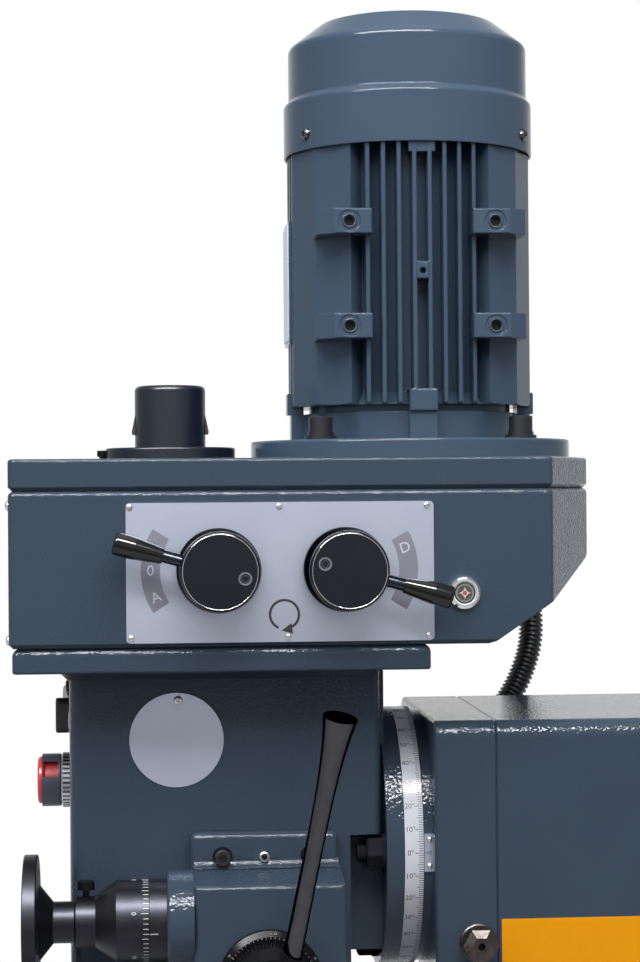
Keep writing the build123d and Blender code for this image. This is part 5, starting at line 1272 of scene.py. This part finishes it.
# %% Rims of the speed knobs
RIM_SIDES = 96
SHOULDER = [
    (-6, 26),
    (-5.4, 28.4),
    (-3.6, 28.6),
    (-2.2, 28.4),
    (-1.1, 27.9),
    (-0.4, 27.3),
    (-0.1, 26.7),
    (-5.8, 26),
]
BEAD = [(-4, 26), (-0.6, 26.7), (0.1, 26.75), (0.3, 26.5), (0.1, 26.25), (-3.8, 26)]

for body, knob, _ in KNOBS:
    for name, profile, material in (("_shoulder", SHOULDER, edge_black), ("_bead", BEAD, chrome)):
        steps = [(height * MM, radius * MM) for height, radius in profile]
        mesh = lathe(body + name, steps, RIM_SIDES, smooth=True)
        mesh.transform(seat(LOOKS_RIGHT, (knob_face(body), *knob.yz)))
        piece(body + name, mesh, body, material)

# %% [markdown]
# Where the feed box meets its flange, a bead of filler rounds the corner off: a quarter arc drawn out
# along the ledge. The dark rings round the two countersunk feed screws are painted shadow: they stand for
# the shade in the counterbores. Both are flat outlines with a thickness, so the functions for print make
# them too.

# %% Filler and painted shadows round the screws
LEDGE, LEDGE_LENGTH, LEDGE_Y, BEAD_R, BEAD_SINK, BEAD_STEPS = 236.8, 107, 67.5, 6.0, 0.7, 8
BEAD_CORNER = (FEED_FACE - 0.5, LEDGE - 1.5)
FEED_SHADOW_RING, FEED_RIM_INSET = (5.9, 7.4), 6

curve = [math.radians(180 + 90 * i / BEAD_STEPS) for i in range(BEAD_STEPS + 1)]
bead_low = LEDGE - BEAD_SINK
bead = [(FEED_FACE + BEAD_R * (1 + math.cos(a)), bead_low + BEAD_R * (1 + math.sin(a))) for a in curve]
mesh = ink_shape([*bead, BEAD_CORNER], LEDGE_LENGTH)
mesh.transform(seat(LOOKS_FRONT, (0, LEDGE_Y, 0)))
piece("feed_box_bead", mesh, "head", cast_enamel)

feed_low, feed_high = box_mm("feed_box_screws")
# The dark oxide rings round the feed screws are painted shadow of their counterbores.
shadow_rings = []
for y in (feed_low.y + FEED_RIM_INSET, feed_high.y - FEED_RIM_INSET):
    rim = ink_arc(*FEED_SHADOW_RING, 0, FULL_TURN)
    rim.transform(seat(LOOKS_RIGHT, (FEED_FACE, y, feed_high.z - FEED_RIM_INSET)))
    shadow_rings.append(rim)
piece("feed_screw_rims", gathered("feed_screw_rims", shadow_rings), "head", oxide)

# %% [markdown]
# The ram's side bolts taper to a small face with a hole in it, and stand on a turned washer. They stand
# for the plain hexagon bolts of the construction model, on the same axes: the taper is a lathe profile
# whose radius is a hexagon, large below and small on top.

# %% Side bolts of the ram
BOLT_Y, BOLT_Z, BOLT_TURN, BOLT_SIDES = 223.7, 178.0, math.radians(30), 36
BOLT_WASHER = [(-17.3, 13.2), (-16.6, 14.2), (-14.8, 14.2), (-14, 13.2)]
BOLT_HEAD = [
    (-15, hexagon(11.4)),
    (-3.6, hexagon(11.8)),
    (-2.8, hexagon(11.6)),
    (0, hexagon(6.2)),
    (0, 2.7),
    (-4, 2.5),
]
# The floor of each bolt's hole is a dark oxide cone, painted shade in the hole.
BOLT_HOLE_SHADE = [(-6, 2.0), (-3.6, 2.4), (-3.4, 1.0)]

bolt_face = box_mm("ram_side_bolts")[1].x


def on_both_sides(name, *profiles):
    """Turned shapes on the bolts' axis, on the left and on the right of the ram."""
    shapes = []
    for side in (-1, 1):
        place = seat(((0, side, 0), (0, 0, 1), (side, 0, 0)), (side * bolt_face, BOLT_Y, BOLT_Z))
        for profile in profiles:
            shape = lathe(name, profile, BOLT_SIDES)
            shape.transform(Matrix.Scale(MM, 4) @ Matrix.Rotation(BOLT_TURN, 4, "Z"))
            shape.transform(place)
            shapes.append(shape)
    return gathered(name, shapes)


heads = on_both_sides("side_bolt_heads", BOLT_WASHER, BOLT_HEAD)
bolts = piece("side_bolt_heads", heads, "ram", bolt_gunmetal)
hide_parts("ram_side_bolts")
# The dark cones in the bolts' holes are painted shade.
piece("side_bolt_holes", on_both_sides("side_bolt_holes", BOLT_HOLE_SHADE), "ram", oxide)

# %% [markdown]
# Two spring clips hold the drawbar cap. Each is a small wedge, so it is drawn as a flat outline, given
# the clip's width and turned to its side of the cap.

# %% Spring clips of the cap
CLIP_SINK, CLIP_WIDTH = 0.6, 9
CLIP_OUTLINE = [(0, 575.5), (0, 558), (2.6, 558), (3.2, 560)]

cap_edge = box_mm("drawbar_cap")[1].y - CLIP_SINK
clips = []
for side in (-1, 1):
    clip = ink_shape([(cap_edge + out, z) for out, z in CLIP_OUTLINE], CLIP_WIDTH)
    clip.transform(seat(((0, side, 0), (0, 0, 1), (side, 0, 0)), ORIGIN))
    clips.append(clip)
piece("cap_clips", gathered("cap_clips", clips), "drawbar_cap", bolt_gunmetal)

# %% [markdown]
# The studio is a white sweep. The floor is pale and diffuse near the machine, so it keeps the shadow, and
# turns to plain white further out. A white floor would also light the machine from below, so it is a
# darker grey to light that bounces off it, and to mirrors its white fades towards the camera and behind
# it.

# %% Helper for the studio
def mirror_rays(tree):
    """The kinds of ray, and whether a ray comes from a mirror or through glass."""
    rays = add(tree, "ShaderNodeLightPath").outputs
    kinds = {0: rays["Is Glossy Ray"], 1: rays["Is Transmission Ray"]}
    return rays, add(tree, "ShaderNodeMath", kinds, operation="MAXIMUM").outputs[0]


print("studio helper ready")

# %% Floor finish
BOUNCE_GREY = "#5c5c60"
WHITE_FROM, WHITE_AT = 0.8, 1.5
DIM_FROM, DIM_AT, DIM_LEVEL = 0.4, 2.0, 0.30

floor_paint, tree, shader, place = finish("white_sweep", Roughness=0.9, Specular_IOR_Level=0.1)
tone = mottle(tree, shader, place, "#e9e9ea", "#efeff0", blot_mm=400, detail=2.0)
rays, mirrored = mirror_rays(tree)
bounced = add(
    tree,
    "ShaderNodeMix",
    {0: rays["Is Diffuse Ray"], 6: tone.outputs[2]},
    {7: linear(BOUNCE_GREY)},
    data_type="RGBA",
)
tree.links.new(bounced.outputs[2], shader.inputs["Base Color"])
seen = add(tree, "ShaderNodeMath", {0: rays["Is Camera Ray"], 1: mirrored}, operation="MAXIMUM")
flat = add(tree, "ShaderNodeVectorMath", {0: place}, {1: (1, 1, 0)}, operation="MULTIPLY")
away = add(tree, "ShaderNodeVectorMath", {0: flat.outputs[0]}, operation="LENGTH")
far = add(
    tree,
    "ShaderNodeMapRange",
    {0: away.outputs["Value"]},
    {1: WHITE_FROM, 2: WHITE_AT},
    interpolation_type="SMOOTHSTEP",
)
glow = add(tree, "ShaderNodeMath", {0: seen.outputs[0], 1: far.outputs[0]}, operation="MULTIPLY")
spot = add(tree, "ShaderNodeSeparateXYZ", {0: place})
dim = add(
    tree,
    "ShaderNodeMapRange",
    {0: spot.outputs["X"]},
    {1: DIM_FROM, 2: DIM_AT, 3: 1.0, 4: DIM_LEVEL},
    interpolation_type="SMOOTHSTEP",
)
strength = add(tree, "ShaderNodeMath", {0: dim.outputs[0], 1: rays["Is Camera Ray"]}, operation="MAXIMUM")
white = add(tree, "ShaderNodeEmission", {"Strength": strength.outputs[0]}, {"Color": (1, 1, 1, 1)})
mixed = add(tree, "ShaderNodeMixShader", {0: glow.outputs[0], 1: shader.outputs[0], 2: white.outputs[0]})
tree.links.new(mixed.outputs[0], tree.nodes["Material Output"].inputs["Surface"])
print(floor_paint.name)

# %% Floor
FLOOR_Z, FLOOR_Y, FLOOR_R, FLOOR_SIDES = -0.20, 0.2, 8.0, 96

disc = bmesh.new()
bmesh.ops.create_circle(disc, cap_ends=True, segments=FLOOR_SIDES, radius=FLOOR_R)
floor_mesh = bpy.data.meshes.new("floor")
disc.to_mesh(floor_mesh)
disc.free()
floor_mesh.materials.append(floor_paint)
floor_mesh.transform(Matrix.Translation((0, FLOOR_Y, FLOOR_Z)))
floor = bpy.data.objects.new("floor", floor_mesh)
scene.collection.objects.link(floor)
print("floor at", FLOOR_Z)

# %% [markdown]
# The world is plain white where the camera sees it. To mirrors it is nearly white ahead, grey to the
# sides and a little less than white behind the camera, because grey sides draw the edges of bright parts
# and keep black ones black. To diffuse surfaces it is an even soft light.

# %% World
WORLD_TONES = ((0, 0.95), (0.2, 0.42), (0.55, 0.46), (1, 0.84))
SKY, SKY_STRENGTH = (0.96, 0.98, 1.0, 1), 0.48

world = bpy.data.worlds.new("studio")
scene.world = world
world.use_nodes = True
tree = world.node_tree
tree.nodes.clear()
rays, mirrored = mirror_rays(tree)
way = add(tree, "ShaderNodeSeparateXYZ", {0: add(tree, "ShaderNodeTexCoord").outputs["Generated"]})
ahead_behind = add(tree, "ShaderNodeMapRange", {0: way.outputs["X"]}, {1: -1.0, 2: 1.0})
depth = add(tree, "ShaderNodeValToRGB", {0: ahead_behind.outputs[0]})
depth.color_ramp.interpolation = "EASE"
for position, _ in WORLD_TONES[1:-1]:
    depth.color_ramp.elements.new(position)
for stop, (_, grey) in zip(depth.color_ramp.elements, WORLD_TONES):
    stop.color = (grey, grey, grey, 1)
soft = add(tree, "ShaderNodeBackground", values={"Color": SKY, "Strength": SKY_STRENGTH})
sweep = add(tree, "ShaderNodeBackground", {"Color": depth.outputs[0]}, {"Strength": 1.0})
plain = add(tree, "ShaderNodeBackground", values={"Color": (1, 1, 1, 1), "Strength": 1.0})
lit = add(tree, "ShaderNodeMixShader", {0: mirrored, 1: soft.outputs[0], 2: sweep.outputs[0]})
shown = add(tree, "ShaderNodeMixShader", {0: rays["Is Camera Ray"], 1: lit.outputs[0], 2: plain.outputs[0]})
add(tree, "ShaderNodeOutputWorld", {"Surface": shown.outputs[0]})
print("world ready")

# %% [markdown]
# A large soft box above the camera lights the colours, at a level at which a colour comes out about as it
# is written, and a box overhead and two fills open the shadows. The glitter on the paint's edges needs a
# narrow bright source, which would burn the colours out, so a strip beside the soft box lights glossy
# rays only, and the soft box and the fills light none of them.

# %% Lights
def soft_box(name, place, target, wide, tall, power, diffuse=True, glossy=True):
    """An area light that looks at a point, for diffuse surfaces, glossy ones or both."""
    light = bpy.data.lights.new(name, "AREA")
    light.shape = "RECTANGLE"
    light.size, light.size_y, light.energy = wide, tall, power
    lamp = bpy.data.objects.new(name, light)
    lamp.location = place
    lamp.rotation_euler = (Vector(target) - Vector(place)).to_track_quat("-Z", "Y").to_euler()
    lamp.visible_camera = False
    lamp.visible_diffuse, lamp.visible_glossy = diffuse, glossy
    scene.collection.objects.link(lamp)
    print(name, power, "W")


soft_box("key_box", (1.35, 0.05, 2.05), (0, 0.1, 0.45), 2.2, 1.5, 52, glossy=False)
soft_box("glint_strip", (1.38, -0.4, 1.95), (0, -0.2, 0.45), 2.4, 0.4, 230, diffuse=False)
soft_box("top_box", (0.1, 0.1, 2.6), (0, 0.1, 0.4), 1.6, 1.6, 10)
soft_box("left_fill", (1.1, -2.1, 1.0), (0, 0.1, 0.4), 1.0, 1.4, 11, glossy=False)
soft_box("right_fill", (1.3, 2.2, 1.1), (0, 0.2, 0.4), 1.0, 1.4, 6, glossy=False)
